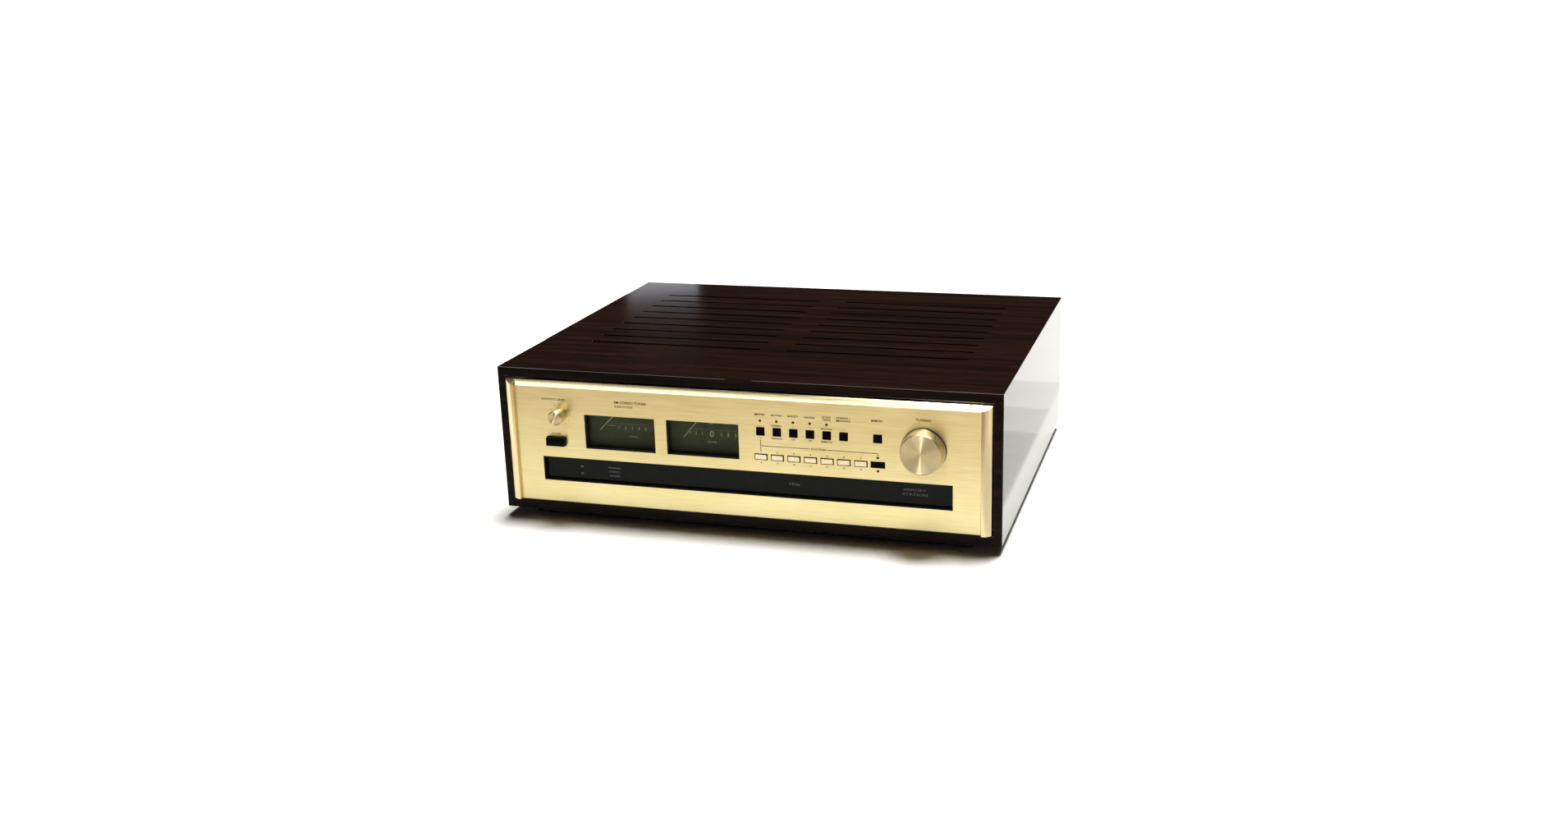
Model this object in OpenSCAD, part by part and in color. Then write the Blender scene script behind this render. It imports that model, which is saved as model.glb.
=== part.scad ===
// FM stereo tuner in a wooden cabinet: a sleeve of four mitred boards, a steel chassis inside it,
// and a thick aluminium fascia with two meters, a dial window, fifteen push keys and two knobs.
// Millimetres. +Z is up, the fascia faces -Y, and +X is to the right when seen from the front.
// The origin is on the table, below the middle of the whole object.

/* [Cabinet] */
// Width of the wooden cabinet
cabinet_w = 466; // [440:1:500]
// Height of the wooden cabinet without its runners
cabinet_h = 136; // [130:1:150]
// Depth of the wooden cabinet
cabinet_d = 372; // [350:1:420]
// Thickness of the side boards
side_t = 8; // [6:0.5:8.5]
// Thickness of the top and base boards
board_t = 9; // [7:0.5:9.5]
// Height of the runners and their pads together
feet_h = 8; // [6:1:14]
// Slots in each of the two fields in the top board
slot_count = 9; // [5:1:9]
// Distance from one slot to the next
slot_pitch = 25.8; // [20:0.2:25.8]
// Width of a slot
slot_w = 4; // [3:0.5:6]
// Length of a slot
slot_len = 172; // [120:1:176]
// Distance from the cabinet's front edge to the first slot
slot_front = 104; // [90:1:120]

/* [Fascia] */
// Thickness of the fascia
fascia_t = 5; // [4:0.5:6]
// How far the fascia stands in front of the cabinet
fascia_out = 4; // [3:0.5:4.5]
// Gap between the fascia and the boards
fascia_gap = 1.2; // [0.8:0.1:1.5]
// Height of the bright bevel along the top of the fascia
bevel_h = 5.5; // [3:0.5:6]
// Depth of that bevel
bevel_d = 2.5; // [1.5:0.5:3]
// Half the width of the flat panel between the end trims
panel_half = 215.5; // [214:0.5:216]
// How far the end trims stand in front of the panel
trim_out = 3.5; // [2:0.5:4]

/* [Windows] */
// Width of a meter window
meter_w = 68; // [60:1:70]
// Height of a meter window
meter_h = 32; // [26:1:32]
// Middle of the left meter
meter_left_x = -113.3; // [-115:0.1:-112]
// Middle of the right meter
meter_right_x = -34; // [-36:0.1:-33]
// Height of the meters' middle above the table
meter_z = 88; // [86:0.5:88]
// Width of the dial window
dial_w = 382; // [360:1:384]
// Height of the dial window
dial_h = 22.8; // [18:0.2:23]
// Height of the dial window's middle above the table
dial_z = 50.4; // [48:0.2:51]
// Length of a meter needle from its pivot to its tip
needle_len = 33; // [24:1:34]
// Angle of a resting needle from straight down
needle_rest = 45; // [38:1:46]

/* [Keys] */
// Middle of the first key column
key_x = 20.3; // [19:0.1:21]
// Distance between key columns
key_pitch = 15.06; // [14.8:0.02:15.2]
// Side of a square key
key_side = 7; // [6:0.5:8]
// Height of the square keys above the table
key_z = 99.2; // [98:0.2:100]
// Width of a preset key
preset_w = 10.3; // [10:0.1:11.4]
// Height of a preset key's face
preset_h = 4.2; // [4:0.1:6]
// Height of the preset keys above the table
preset_z = 75.7; // [75:0.1:77]
// Travel of every small key
key_travel = 1; // [0.6:0.1:1.2]
// Travel of the power button
power_travel = 3.5; // [2:0.1:3.5]

/* [Knobs] */
// Radius of the tuning knob at its foot
tuning_r = 19.8; // [18:0.1:21]
// Radius of the tuning knob's front face
tuning_face_r = 17; // [15:0.1:17.5]
// How far the tuning knob stands in front of the fascia
knob_out = 13.6; // [13:0.1:18]
// Radius of the level knob
level_r = 6.8; // [6:0.1:7.5]
// How far the level knob stands in front of the fascia
level_out = 12.4; // [10:0.1:13]

/* [Hidden] */
$fn = 48;

// Depths: y grows towards the back
overall_d = knob_out + fascia_out + cabinet_d;
front_y = -overall_d / 2 + knob_out;
cab_y0 = front_y + fascia_out;
cab_y1 = overall_d / 2;
back_y = front_y + fascia_t;
pane_t = 1.6;
sheet_t = 1.2;
subframe_y = front_y + 8;
rear_y1 = cab_y1 - 14;
rear_y0 = rear_y1 - sheet_t;

// Heights
overall_h = cabinet_h + feet_h;
base_z = feet_h + board_t;
tray_z = base_z + sheet_t;
fascia_z0 = base_z + fascia_gap;
fascia_z1 = overall_h - board_t - fascia_gap;
pad_t = 2;
runner_w = 24;

// Inside widths
chassis_half = cabinet_w / 2 - side_t - 2.5;
foot_half = chassis_half - sheet_t - 0.5;
trim_foot = 8.6;
slot_x = 12.5 + slot_len / 2;
fascia_screw_r = 1.45;

// Keys and their holes
key_gap = 0.35;
key_proud = 1;
stem_end = front_y + 12.2;
switch_y = front_y + 13.5;
board_y = front_y + 17;
board_sheet_t = 1.6;
SQUARE_COLUMNS = [0, 1, 2, 3, 4, 5, 7];
function column_x(i) = key_x + i * key_pitch;
lamp_r = 1;
lamp_z = 109;
bank_w = 11.2;
bank_h = 4.2;
bank_lamp_z = [82, 70];
key_board_posts = [27.8, 118.2];
LAMPS = [for (i = [0:4]) [column_x(i), lamp_z], for (z = bank_lamp_z) [column_x(7), z]];

// Knobs and the power button
tuning_x = 165.7;
tuning_z = 91.7;
level_x = -171.2;
level_z = 102.5;
shaft_r = 3;
running = 0.05;
tuning_bush_r = 4.5;
level_shaft_r = 2;
level_bush_r = 3.5;
power_x = -176.2;
power_z = 77.2;
power_w = 18;
power_h = 8;
power_proud = 4.5;

// Meters
pivot_z = meter_z + meter_h / 2 + 7;
case_half = meter_w / 2 + 4;
case_z0 = meter_z - meter_h / 2 - 4;
case_z1 = pivot_z + 9;
case_y0 = back_y + pane_t;
case_y1 = front_y + 33;
scale_y = front_y + 12.5;
needle_y = front_y + 9.4;
case_gap = 0.5;
case_wall = 1.2;
staff_r = 0.6;
hub_r = 2.2;
right_lean = 4.5; // the right needle rests this many degrees less

// Rear terminals: seen from the front, the inlet is on the left
inlet_x = -172;
inlet_z = 46;
inlet_w = 27;
inlet_h = 19.8;
jack_x = 40;
jack_z = 52;
jack_dx = 22;
jack_dz = 20;
antenna_x = 152;
antenna_z = 92;
socket_x = antenna_x - 24;
board_front = rear_y1 + 2;
post_r = 2;
nut_y = rear_y1 + 3.4;
post_x = 196;
post_z = 62;
wire_r = 0.6;
contact_r = 1.6;
insulator_r = 3.4;
sleeve_r = 4.15;
sleeve_len = 10.4;
plate_y = rear_y1 + 2;
jack_plate = [56, 50];

module block(lo, hi) translate(lo) cube(hi - lo);

// An outline in (y, z) drawn out along x
module bar_x(x0, x1) translate([x0, 0, 0]) rotate([90, 0, 90]) linear_extrude(x1 - x0) children();

// An outline in (x, z) drawn out along y
module bar_y(y0, y1) translate([0, y1, 0]) rotate([90, 0, 0]) linear_extrude(y1 - y0) children();

// A round bar along y
module rod_y(x, z, y0, y1, r) translate([x, y1, z]) rotate([90, 0, 0]) cylinder(r = r, h = y1 - y0);

// A rectangular bar along y, centred on (x, z)
module bar_at(x, z, y0, y1, w, h) block([x - w / 2, y0, z - h / 2], [x + w / 2, y1, z + h / 2]);

// A profile of (radius, height) turned about y, its height running towards the front
module turned(x, y, z, profile) translate([x, y, z]) rotate([90, 0, 0]) rotate_extrude() polygon(profile);

// ---- Wooden cabinet ----

module slot_outline() {
    reach = (slot_len - slot_w) / 2;
    square([2 * reach, slot_w], center = true);
    for (side = [-1, 1]) translate([side * reach, 0]) circle(d = slot_w, $fn = 16);
}

module cabinet_top() color("#2a1512") difference() {
    bar_y(cab_y0, cab_y1) polygon([
        [-cabinet_w / 2, overall_h], [cabinet_w / 2, overall_h],
        [cabinet_w / 2 - side_t, overall_h - board_t], [-cabinet_w / 2 + side_t, overall_h - board_t]]);
    for (side = [-1, 1], i = [0:slot_count - 1])
        translate([side * slot_x, cab_y0 + slot_front + i * slot_pitch, overall_h - board_t - 1])
            linear_extrude(board_t + 2) slot_outline();
}

module cabinet_base() color("#2a1512") difference() {
    bar_y(cab_y0, cab_y1) polygon([
        [-cabinet_w / 2, feet_h], [cabinet_w / 2, feet_h],
        [cabinet_w / 2 - side_t, base_z], [-cabinet_w / 2 + side_t, base_z]]);
    chassis_screw_holes();
}

module cabinet_side(side) color("#311813") bar_y(cab_y0, cab_y1) polygon([
    [side * cabinet_w / 2, feet_h], [side * cabinet_w / 2, overall_h],
    [side * (cabinet_w / 2 - side_t), overall_h - board_t], [side * (cabinet_w / 2 - side_t), base_z]]);

RUNNERS = [cab_y0 + 10, cab_y1 - 10 - runner_w];

module runners() color("#1c1210")
    for (y = RUNNERS) block([-208, y, pad_t], [208, y + runner_w, feet_h]);

module runner_pads() color("#1b1b1b")
    for (x = [-194, 194], y = RUNNERS) translate([x, y + runner_w / 2, 0]) cylinder(d = 20, h = pad_t);

// ---- Steel chassis ----

screw_r = 1.95;
function screw_places() = [for (x = [-170, 170], y = [cab_y0 + 60, cab_y1 - 40]) [x, y]];

module chassis_screw_holes()
    for (p = screw_places())
        translate([p[0], p[1], feet_h - 1]) cylinder(r = screw_r + 0.25, h = board_t + 5);

module chassis_tray() color("#9a9a92") difference() {
    union() {
        block([-chassis_half, subframe_y, base_z], [chassis_half, rear_y0, tray_z]);
        for (side = [-1, 1]) {
            x = side * (chassis_half - sheet_t / 2);
            block([x - sheet_t / 2, subframe_y + sheet_t, tray_z], [x + sheet_t / 2, rear_y0, tray_z + 80]);
        }
    }
    chassis_screw_holes();
}

module chassis_screws() color("#c8c8c4") for (p = screw_places()) translate([p[0], p[1], 0]) {
    translate([0, 0, feet_h - 2.4]) cylinder(d = 8, h = 2.4);
    translate([0, 0, feet_h]) cylinder(r = screw_r, h = board_t + sheet_t);
    translate([0, 0, tray_z]) cylinder(d = 8, h = 3.2, $fn = 6);
}

module front_subframe() color("#55564f") difference() {
    union() {
        block([-chassis_half, subframe_y, fascia_z0], [chassis_half, subframe_y + sheet_t, fascia_z1 - 1]);
        block([-foot_half, subframe_y + sheet_t, tray_z], [foot_half, subframe_y + 12, tray_z + sheet_t]);
        block([-panel_half, back_y, fascia_z1 - 2.2], [panel_half, subframe_y, fascia_z1 - 1]);
        block([-panel_half, back_y, fascia_z0 + 0.4], [panel_half, subframe_y, fascia_z0 + 1.6]);
    }
    bar_at(0, dial_z, back_y, subframe_y + 2, dial_w + 2, dial_h + 2);
    for (x = [meter_left_x, meter_right_x])
        block([x - case_half - case_gap, back_y, case_z0 - case_gap],
            [x + case_half + case_gap, subframe_y + 2, case_z1 + case_gap]);
    for (i = SQUARE_COLUMNS)
        bar_at(column_x(i), key_z, back_y, subframe_y + 2, key_side + 1.4, key_side + 1.4);
    for (i = [0:7])
        bar_at(column_x(i), preset_z, back_y, subframe_y + 2, preset_w + 1.6, preset_h + 1.6);
    for (p = LAMPS) rod_y(p[0], p[1], back_y, subframe_y + 2, lamp_r + 0.5);
    bar_at(power_x, power_z, back_y, subframe_y + 2, power_w + 2, power_h + 2);
    rod_y(tuning_x, tuning_z, back_y, subframe_y + 2, tuning_bush_r + 0.3);
    rod_y(level_x, level_z, back_y, subframe_y + 2, level_bush_r + 0.3);
    for (p = fascia_screw_places()) rod_y(p[0], p[1], back_y, subframe_y + 2, fascia_screw_r + 0.25);
}

module vent_row(x, z, count)
    for (i = [0:count - 1]) bar_at(x + i * 8, z, rear_y0 - 1, rear_y1 + 1, 3.5, 34);

module rear_panel() color("#3c3d3a") difference() {
    union() {
        block([-chassis_half, rear_y0, base_z], [chassis_half, rear_y1, overall_h - board_t - 1.5]);
        block([-foot_half, rear_y0 - 12, tray_z], [foot_half, rear_y0, tray_z + sheet_t]);
    }
    bar_at(antenna_x, antenna_z, rear_y0 - 1, rear_y1 + 1, 70, 30);
    bar_at(jack_x + jack_dx / 2, jack_z + jack_dz / 2, rear_y0 - 1, rear_y1 + 1, 40, 38);
    bar_at(inlet_x, inlet_z, rear_y0 - 1, rear_y1 + 1, inlet_w + 0.4, inlet_h + 0.4);
    rod_y(post_x, post_z, rear_y0 - 1, rear_y1 + 1, post_r + 0.1);
    vent_row(-120, 84, 12);
}

// ---- Fascia ----

function fascia_screw_places() =
    [for (x = [-202, -70, 70, 202], z = [fascia_z0 + 8, fascia_z1 - 9]) [x, z]];

module fascia_outline(out, top, depth) polygon([
    [front_y - out, fascia_z0 + 0.8], [front_y - out + 0.8, fascia_z0], [back_y, fascia_z0],
    [back_y, fascia_z1], [front_y + depth, fascia_z1], [front_y - out, fascia_z1 - top]]);

module key_hole(x, z, w, h) bar_at(x, z, front_y - 1, back_y + 1, w + 2 * key_gap, h + 2 * key_gap);

module fascia() color("#dcc68a") difference() {
    bar_x(-panel_half, panel_half) fascia_outline(0, bevel_h, bevel_d);
    bar_at(0, dial_z, front_y - 1, back_y + 1, dial_w, dial_h);
    for (x = [meter_left_x, meter_right_x]) bar_at(x, meter_z, front_y - 1, back_y + 1, meter_w, meter_h);
    for (i = SQUARE_COLUMNS) key_hole(column_x(i), key_z, key_side, key_side);
    for (i = [0:6]) key_hole(column_x(i), preset_z, preset_w, preset_h);
    key_hole(column_x(7), preset_z, bank_w, bank_h);
    for (p = LAMPS) rod_y(p[0], p[1], front_y - 1, back_y + 1, lamp_r + 0.1);
    bar_at(power_x, power_z, front_y - 1, back_y + 1, power_w + 0.8, power_h + 0.8);
    rod_y(tuning_x, tuning_z, front_y - 1, back_y + 1, tuning_bush_r + 0.3);
    rod_y(level_x, level_z, front_y - 1, back_y + 1, level_bush_r + 0.3);
    for (p = fascia_screw_places()) rod_y(p[0], p[1], back_y - 2.5, back_y + 1, fascia_screw_r + 0.05);
}

module fascia_screws() color("#c8c8c4") for (p = fascia_screw_places()) {
    rod_y(p[0], p[1], back_y - 2.2, subframe_y + sheet_t, 1.45);
    rod_y(p[0], p[1], subframe_y + sheet_t, subframe_y + sheet_t + 2, 2.8);
}

// The trim's face is an arc that leans back towards the outside
arc_r = 20.4;
arc_from = 18;
arc_to = 45;
function trim_arc() = [for (a = [arc_from:3:arc_to])
    [0.4 + arc_r * (sin(a) - sin(arc_from)), -trim_out + arc_r * (cos(arc_from) - cos(a))]];

module end_trim(side) color("#e6d6a4") intersection() {
    translate([side * panel_half, front_y, fascia_z0 - 1]) linear_extrude(fascia_z1 - fascia_z0 + 2)
        mirror([side < 0 ? 1 : 0, 0])
            polygon(concat([[0, fascia_t], [0, -trim_out + 0.5]], trim_arc(), [[trim_foot, fascia_t]]));
    bar_x(side > 0 ? 200 : -240, side > 0 ? 240 : -200) fascia_outline(trim_out, bevel_h - 1.3, bevel_d);
}

// ---- Windows and meters ----

module dial_window() color("#161b18")
    bar_at(0, dial_z, back_y, back_y + pane_t, dial_w + 6, dial_h + 5);

module meter_windows() color("#2c302b", 0.6) for (x = [meter_left_x, meter_right_x])
    block([x - case_half, back_y, case_z0], [x + case_half, back_y + pane_t, case_z1]);

module meter_case(x) color("#20211f") {
    difference() {
        block([x - case_half, case_y0, case_z0], [x + case_half, case_y1, case_z1]);
        block([x - case_half + case_wall, case_y0 - 1, case_z0 + case_wall],
            [x + case_half - case_wall, case_y1 - case_wall, case_z1 - case_wall]);
    }
    rod_y(x, pivot_z, case_y1 - 14, case_y1 - case_wall, 8);
    rod_y(x, pivot_z, needle_y - 1, case_y1 - 14, staff_r);
}

module meter_scales() color("#383b35") for (x = [meter_left_x, meter_right_x]) difference() {
    block([x - case_half + case_wall + 0.3, scale_y, case_z0 + case_wall + 0.3],
        [x + case_half - case_wall - 0.3, scale_y + 0.8, case_z1 - case_wall - 0.3]);
    rod_y(x, pivot_z, scale_y - 1, scale_y + 2, 2 * staff_r);
}

// A pointer with a hub and a counterweight, leaning to the lower left at rest
module meter_needle(x, rest) color("#f2f2ea")
    translate([x, needle_y, pivot_z]) rotate([0, rest, 0]) difference() {
        union() {
            rod_y(0, 0, 0, 2, hub_r);
            block([-0.45, 0.6, -needle_len], [0.45, 1.2, 0]);
            block([-0.9, 0.4, 0], [0.9, 1.4, 5.5]);
        }
        rod_y(0, 0, -1, 3, staff_r + running);
    }

// ---- Keys ----

module indicator_lamps() color("#3a1512") for (p = LAMPS) rod_y(p[0], p[1], front_y + 0.3, board_y, lamp_r);

module key_board() color("#5a3c1e") {
    difference() {
        block([10, board_y, 62], [137, board_y + board_sheet_t, 114]);
        for (x = key_board_posts) rod_y(x, 88, board_y - 1, board_y + 3, 1.6);
    }
    for (x = key_board_posts) difference() {
        rod_y(x, 88, subframe_y + sheet_t, board_y, 2.8);
        rod_y(x, 88, subframe_y + sheet_t + 1, board_y + 1, 1.6);
    }
}

module key_switches() color("#222222") {
    for (i = SQUARE_COLUMNS) bar_at(column_x(i), key_z, switch_y, board_y, 6, 6);
    for (i = [0:7]) bar_at(column_x(i), preset_z, switch_y, board_y, 6, 6);
}

// A cap in front and a stem that reaches the switch
module key(x, z, w, h, proud) {
    bar_at(x, z, front_y - proud, front_y + 6, w, h);
    bar_at(x, z, front_y + 6, stem_end, 3, 3);
}

module square_button(i) color("#17181a") key(column_x(i), key_z, key_side, key_side, key_proud);
module preset_button(i) color("#d9cb9b") key(column_x(i), preset_z, preset_w, preset_h, key_proud);
module bank_button() color("#17181a") key(column_x(7), preset_z, bank_w, bank_h, key_proud);

module display_board() color("#3b4a2c") {
    block([-185, front_y + 30, 38], [185, front_y + 30 + board_sheet_t, 62]);
    for (x = [-178, 178]) bar_at(x, 50, subframe_y + sheet_t, front_y + 30, 6, 18);
}

module display_tube() color("#4c5a58", 0.7) block([40, front_y + 20, 40], [150, front_y + 30, 60]);

// ---- Knobs, shafts and controls ----

module tuning_knob() color("#d8c69a") difference() {
    turned(tuning_x, front_y - 0.6, tuning_z, [
        [0, 0], [tuning_r - 0.6, 0], [tuning_r, 0.6], [tuning_r, 2.4], [tuning_r - 1, 3],
        [tuning_face_r + 0.9, knob_out - 2.2], [tuning_face_r, knob_out - 0.6], [0, knob_out - 0.6]]);
    rod_y(tuning_x, tuning_z, front_y - 11.2, front_y, shaft_r + running);
}

module tuning_shaft() color("#c9c9c9") rod_y(tuning_x, tuning_z, front_y - 11, front_y + 27, shaft_r);

module tuning_encoder() color("#44453f") difference() {
    union() {
        bar_at(tuning_x, tuning_z, subframe_y + sheet_t, front_y + 30, 30, 30);
        rod_y(tuning_x, tuning_z, front_y + 1, subframe_y + sheet_t, tuning_bush_r);
    }
    rod_y(tuning_x, tuning_z, front_y, front_y + 27.3, shaft_r + running);
}

module level_knob() color("#dccb98") difference() {
    turned(level_x, front_y - 0.5, level_z, [
        [0, 0], [level_r, 0], [level_r, level_out - 1.7],
        [level_r - 1.1, level_out - 0.5], [0, level_out - 0.5]]);
    rod_y(level_x, level_z, front_y - 9.2, front_y, level_shaft_r + running);
}

module level_shaft() color("#c9c9c9") rod_y(level_x, level_z, front_y - 9, front_y + 22, level_shaft_r);

module level_potentiometer() color("#8a8a80") difference() {
    union() {
        rod_y(level_x, level_z, subframe_y + sheet_t, front_y + 24, 9);
        rod_y(level_x, level_z, front_y + 1, subframe_y + sheet_t, level_bush_r);
    }
    rod_y(level_x, level_z, front_y, front_y + 22.3, level_shaft_r + running);
}

module power_button() color("#131416") {
    bar_at(power_x, power_z, front_y - power_proud, front_y + 5, power_w, power_h);
    bar_at(power_x, power_z, front_y + 5, front_y + 32, 4, 4);
}

module power_switch() color("#2b2b2b") {
    difference() {
        bar_at(power_x, power_z, front_y + 24, front_y + 52, 22, 18);
        bar_at(power_x, power_z, front_y + 23, front_y + 37, 5, 5);
    }
    for (side = [-1, 1]) bar_at(power_x + side * 8, power_z, subframe_y + sheet_t, front_y + 24, 4, 16);
}

// ---- Boards and heavy parts inside ----

board_z = tray_z + 8;
main_y0 = front_y + 70;
main_y1 = rear_y0 - 20;

module main_board() color("#8a6a2e") {
    block([-40, main_y0, board_z], [205, main_y1, board_z + board_sheet_t]);
    for (x = [-32, 85, 197], y = [main_y0 + 8, main_y1 - 8])
        translate([x, y, tray_z]) cylinder(r = 3, h = board_z - tray_z);
    for (i = [0:4]) translate([-10 + i * 34, main_y0 + 22, board_z + board_sheet_t]) cube([18, 7, 4]);
    for (i = [0:5])
        translate([-20 + i * 22, main_y0 + 60, board_z + board_sheet_t]) cylinder(d = 8, h = 12);
}

module synthesizer_board() color("#4a5a2c") {
    block([-120, front_y + 44, tray_z], [140, front_y + 44 + board_sheet_t, tray_z + 70]);
    for (i = [0:4])
        block([-100 + i * 46, front_y + 44 + board_sheet_t, 52], [-80 + i * 46, front_y + 52, 60]);
}

module power_transformer() {
    color("#4a4a48") difference() {
        block([-208, front_y + 90, tray_z + 6], [-130, front_y + 150, tray_z + 70]);
        block([-196, front_y + 80, tray_z + 18], [-185, front_y + 160, tray_z + 58]);
        block([-153, front_y + 80, tray_z + 18], [-142, front_y + 160, tray_z + 58]);
    }
    color("#b5843a") for (y = [front_y + 80, front_y + 150])
        block([-196, y, tray_z + 18], [-142, y + 10, tray_z + 58]);
    color("#8f8f88") for (x = [-200, -138])
        block([x - 8, front_y + 92, tray_z], [x + 8, front_y + 148, tray_z + 6]);
}

module filter_capacitors() color("#26364a") for (x = [-110, -78])
    translate([x, front_y + 110, tray_z]) cylinder(d = 25, h = 45);

module heat_sink() color("#1f2022") {
    block([-190, rear_y0 - 60, tray_z], [-100, rear_y0 - 56, tray_z + 60]);
    for (i = [0:8])
        block([-190 + i * 11, rear_y0 - 56, tray_z], [-188 + i * 11, rear_y0 - 40, tray_z + 60]);
    for (x = [-170, -130]) block([x, rear_y0 - 65, tray_z + 25], [x + 10, rear_y0 - 60, tray_z + 41]);
}

module rf_shield_can() color("#b9bab4") difference() {
    block([110, main_y1 - 90, board_z + board_sheet_t], [195, main_y1 - 6, board_z + 32]);
    block([111, main_y1 - 89, board_z], [194, main_y1 - 7, board_z + 31]);
}

// ---- Rear terminals ----

module antenna_terminals() {
    color("#2b211a") difference() {
        bar_at(antenna_x, antenna_z, rear_y1, board_front, 80, 40);
        rod_y(socket_x, antenna_z, rear_y1 - 1, board_front + 1, 4.2);
    }
    // Threaded sleeve of the coaxial socket
    color("#d0d0cc") difference() {
        union() {
            rod_y(socket_x, antenna_z, rear_y1 - 5, board_front, 4.2);
            rod_y(socket_x, antenna_z, board_front, board_front + 10, 4.76);
        }
        rod_y(socket_x, antenna_z, rear_y1 - 3, board_front + 11, 3.6);
    }
    // Its insulator, with the hole for the lead's inner wire
    color("#e9e6da") difference() {
        rod_y(socket_x, antenna_z, rear_y1 - 3, board_front + 9, 3.6);
        rod_y(socket_x, antenna_z, board_front, board_front + 10, wire_r);
    }
    // Screws of the balanced input, with their heads off the board
    color("#c9c1a0") for (i = [0:2]) {
        x = antenna_x - 4 + i * 16;
        rod_y(x, antenna_z, board_front, board_front + 3, 2);
        difference() {
            rod_y(x, antenna_z, board_front + 3, board_front + 6.5, 4.2);
            bar_at(x, antenna_z, board_front + 5.3, board_front + 7, 9, 1.2);
        }
    }
    // Earth post
    color("#c9c9c4") {
        rod_y(post_x, post_z, rear_y0 - 4, rear_y1 + 13, post_r);
        difference() {
            rod_y(post_x, post_z, rear_y1, rear_y1 + 1.5, 5);
            rod_y(post_x, post_z, rear_y1 - 1, rear_y1 + 2, post_r);
        }
        difference() {
            rod_y(post_x, post_z, rear_y0 - 3, rear_y0, 4);
            rod_y(post_x, post_z, rear_y0 - 4, rear_y0 + 1, post_r);
        }
    }
}

module ground_nut() color("#cfae5a") difference() {
    union() {
        rod_y(post_x, post_z, rear_y1 + 1.8, nut_y, 4);
        rod_y(post_x, post_z, nut_y, nut_y + 6, 6);
    }
    rod_y(post_x, post_z, rear_y1 + 1, nut_y + 7, post_r + running);
    for (i = [0:17]) translate([post_x, 0, post_z]) rotate([0, i * 20, 0])
        block([5.6, nut_y - 0.2, -0.4], [7, nut_y + 6.2, 0.4]);
}

function jack_place(i) = [jack_x + (i % 2) * jack_dx, jack_z + floor(i / 2) * jack_dz];

// The plate that carries the four phono sockets
module output_plate() color("#211c18") difference() {
    bar_at(jack_x + jack_dx / 2, jack_z + jack_dz / 2, rear_y1, plate_y, jack_plate[0], jack_plate[1]);
    for (i = [0:3]) rod_y(jack_place(i)[0], jack_place(i)[1], rear_y1 - 1, plate_y + 1, insulator_r);
}

// Four phono sockets: each a flanged sleeve on an insulator, with the hole of its centre contact
module output_jacks() for (i = [0:3]) {
    x = jack_place(i)[0];
    z = jack_place(i)[1];
    color("#d8b455") difference() {
        union() {
            rod_y(x, z, plate_y, plate_y + 1.4, 6);
            rod_y(x, z, plate_y + 1.4, plate_y + sleeve_len, sleeve_r);
        }
        rod_y(x, z, plate_y - 1, plate_y + sleeve_len + 1, insulator_r);
    }
    color(i < 2 ? "#b03028" : "#e8e6dc") difference() {
        rod_y(x, z, rear_y1 - 4, plate_y + sleeve_len - 0.8, insulator_r);
        rod_y(x, z, plate_y, plate_y + sleeve_len, contact_r);
    }
}

module ac_inlet() {
    color("#1a1a1a") difference() {
        union() {
            bar_at(inlet_x, inlet_z, rear_y1, rear_y1 + 3, 50, 23);
            bar_at(inlet_x, inlet_z, rear_y1 - 18, rear_y1, inlet_w, inlet_h);
        }
        bar_at(inlet_x, inlet_z, rear_y1 - 13, rear_y1 + 4, inlet_w - 3, inlet_h - 3.2);
    }
    color("#c8c8c4") {
        for (side = [-1, 1])
            bar_at(inlet_x + side * 7, inlet_z - 2, rear_y1 - 13, rear_y1 - 2.4, 2, 4);
        bar_at(inlet_x, inlet_z + 2, rear_y1 - 13, rear_y1 - 2.4, 2, 4);
        for (side = [-1, 1]) rod_y(inlet_x + side * 20, inlet_z, rear_y1 + 3, rear_y1 + 4.6, 2.8);
    }
}

cabinet_top();
cabinet_side(-1);  // cabinet_side_left
cabinet_side(1);  // cabinet_side_right
cabinet_base();
runners();
runner_pads();
chassis_tray();
chassis_screws();
front_subframe();
rear_panel();
fascia();
fascia_screws();
end_trim(-1);  // end_trim_left
end_trim(1);  // end_trim_right
dial_window();
meter_windows();
meter_case(meter_left_x);  // meter_case_left
meter_case(meter_right_x);  // meter_case_right
meter_scales();
meter_needle(meter_left_x, needle_rest);  // meter_needle_left
meter_needle(meter_right_x, needle_rest - right_lean);  // meter_needle_right
indicator_lamps();
key_board();
key_switches();
square_button(0);  // mode_button_1
square_button(1);  // mode_button_2
square_button(2);  // mode_button_3
square_button(3);  // mode_button_4
square_button(4);  // mode_button_5
square_button(5);  // mode_button_6
square_button(7);  // memory_button
preset_button(0);  // preset_button_1
preset_button(1);  // preset_button_2
preset_button(2);  // preset_button_3
preset_button(3);  // preset_button_4
preset_button(4);  // preset_button_5
preset_button(5);  // preset_button_6
preset_button(6);  // preset_button_7
bank_button();
display_board();
display_tube();
tuning_knob();
tuning_shaft();
tuning_encoder();
level_knob();
level_shaft();
level_potentiometer();
power_button();
power_switch();
main_board();
power_transformer();
filter_capacitors();
heat_sink();
rf_shield_can();
synthesizer_board();
antenna_terminals();
ground_nut();
output_plate();
output_jacks();
ac_inlet();
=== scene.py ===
import bpy
import bmesh
import math
from mathutils import Matrix, Vector


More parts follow.
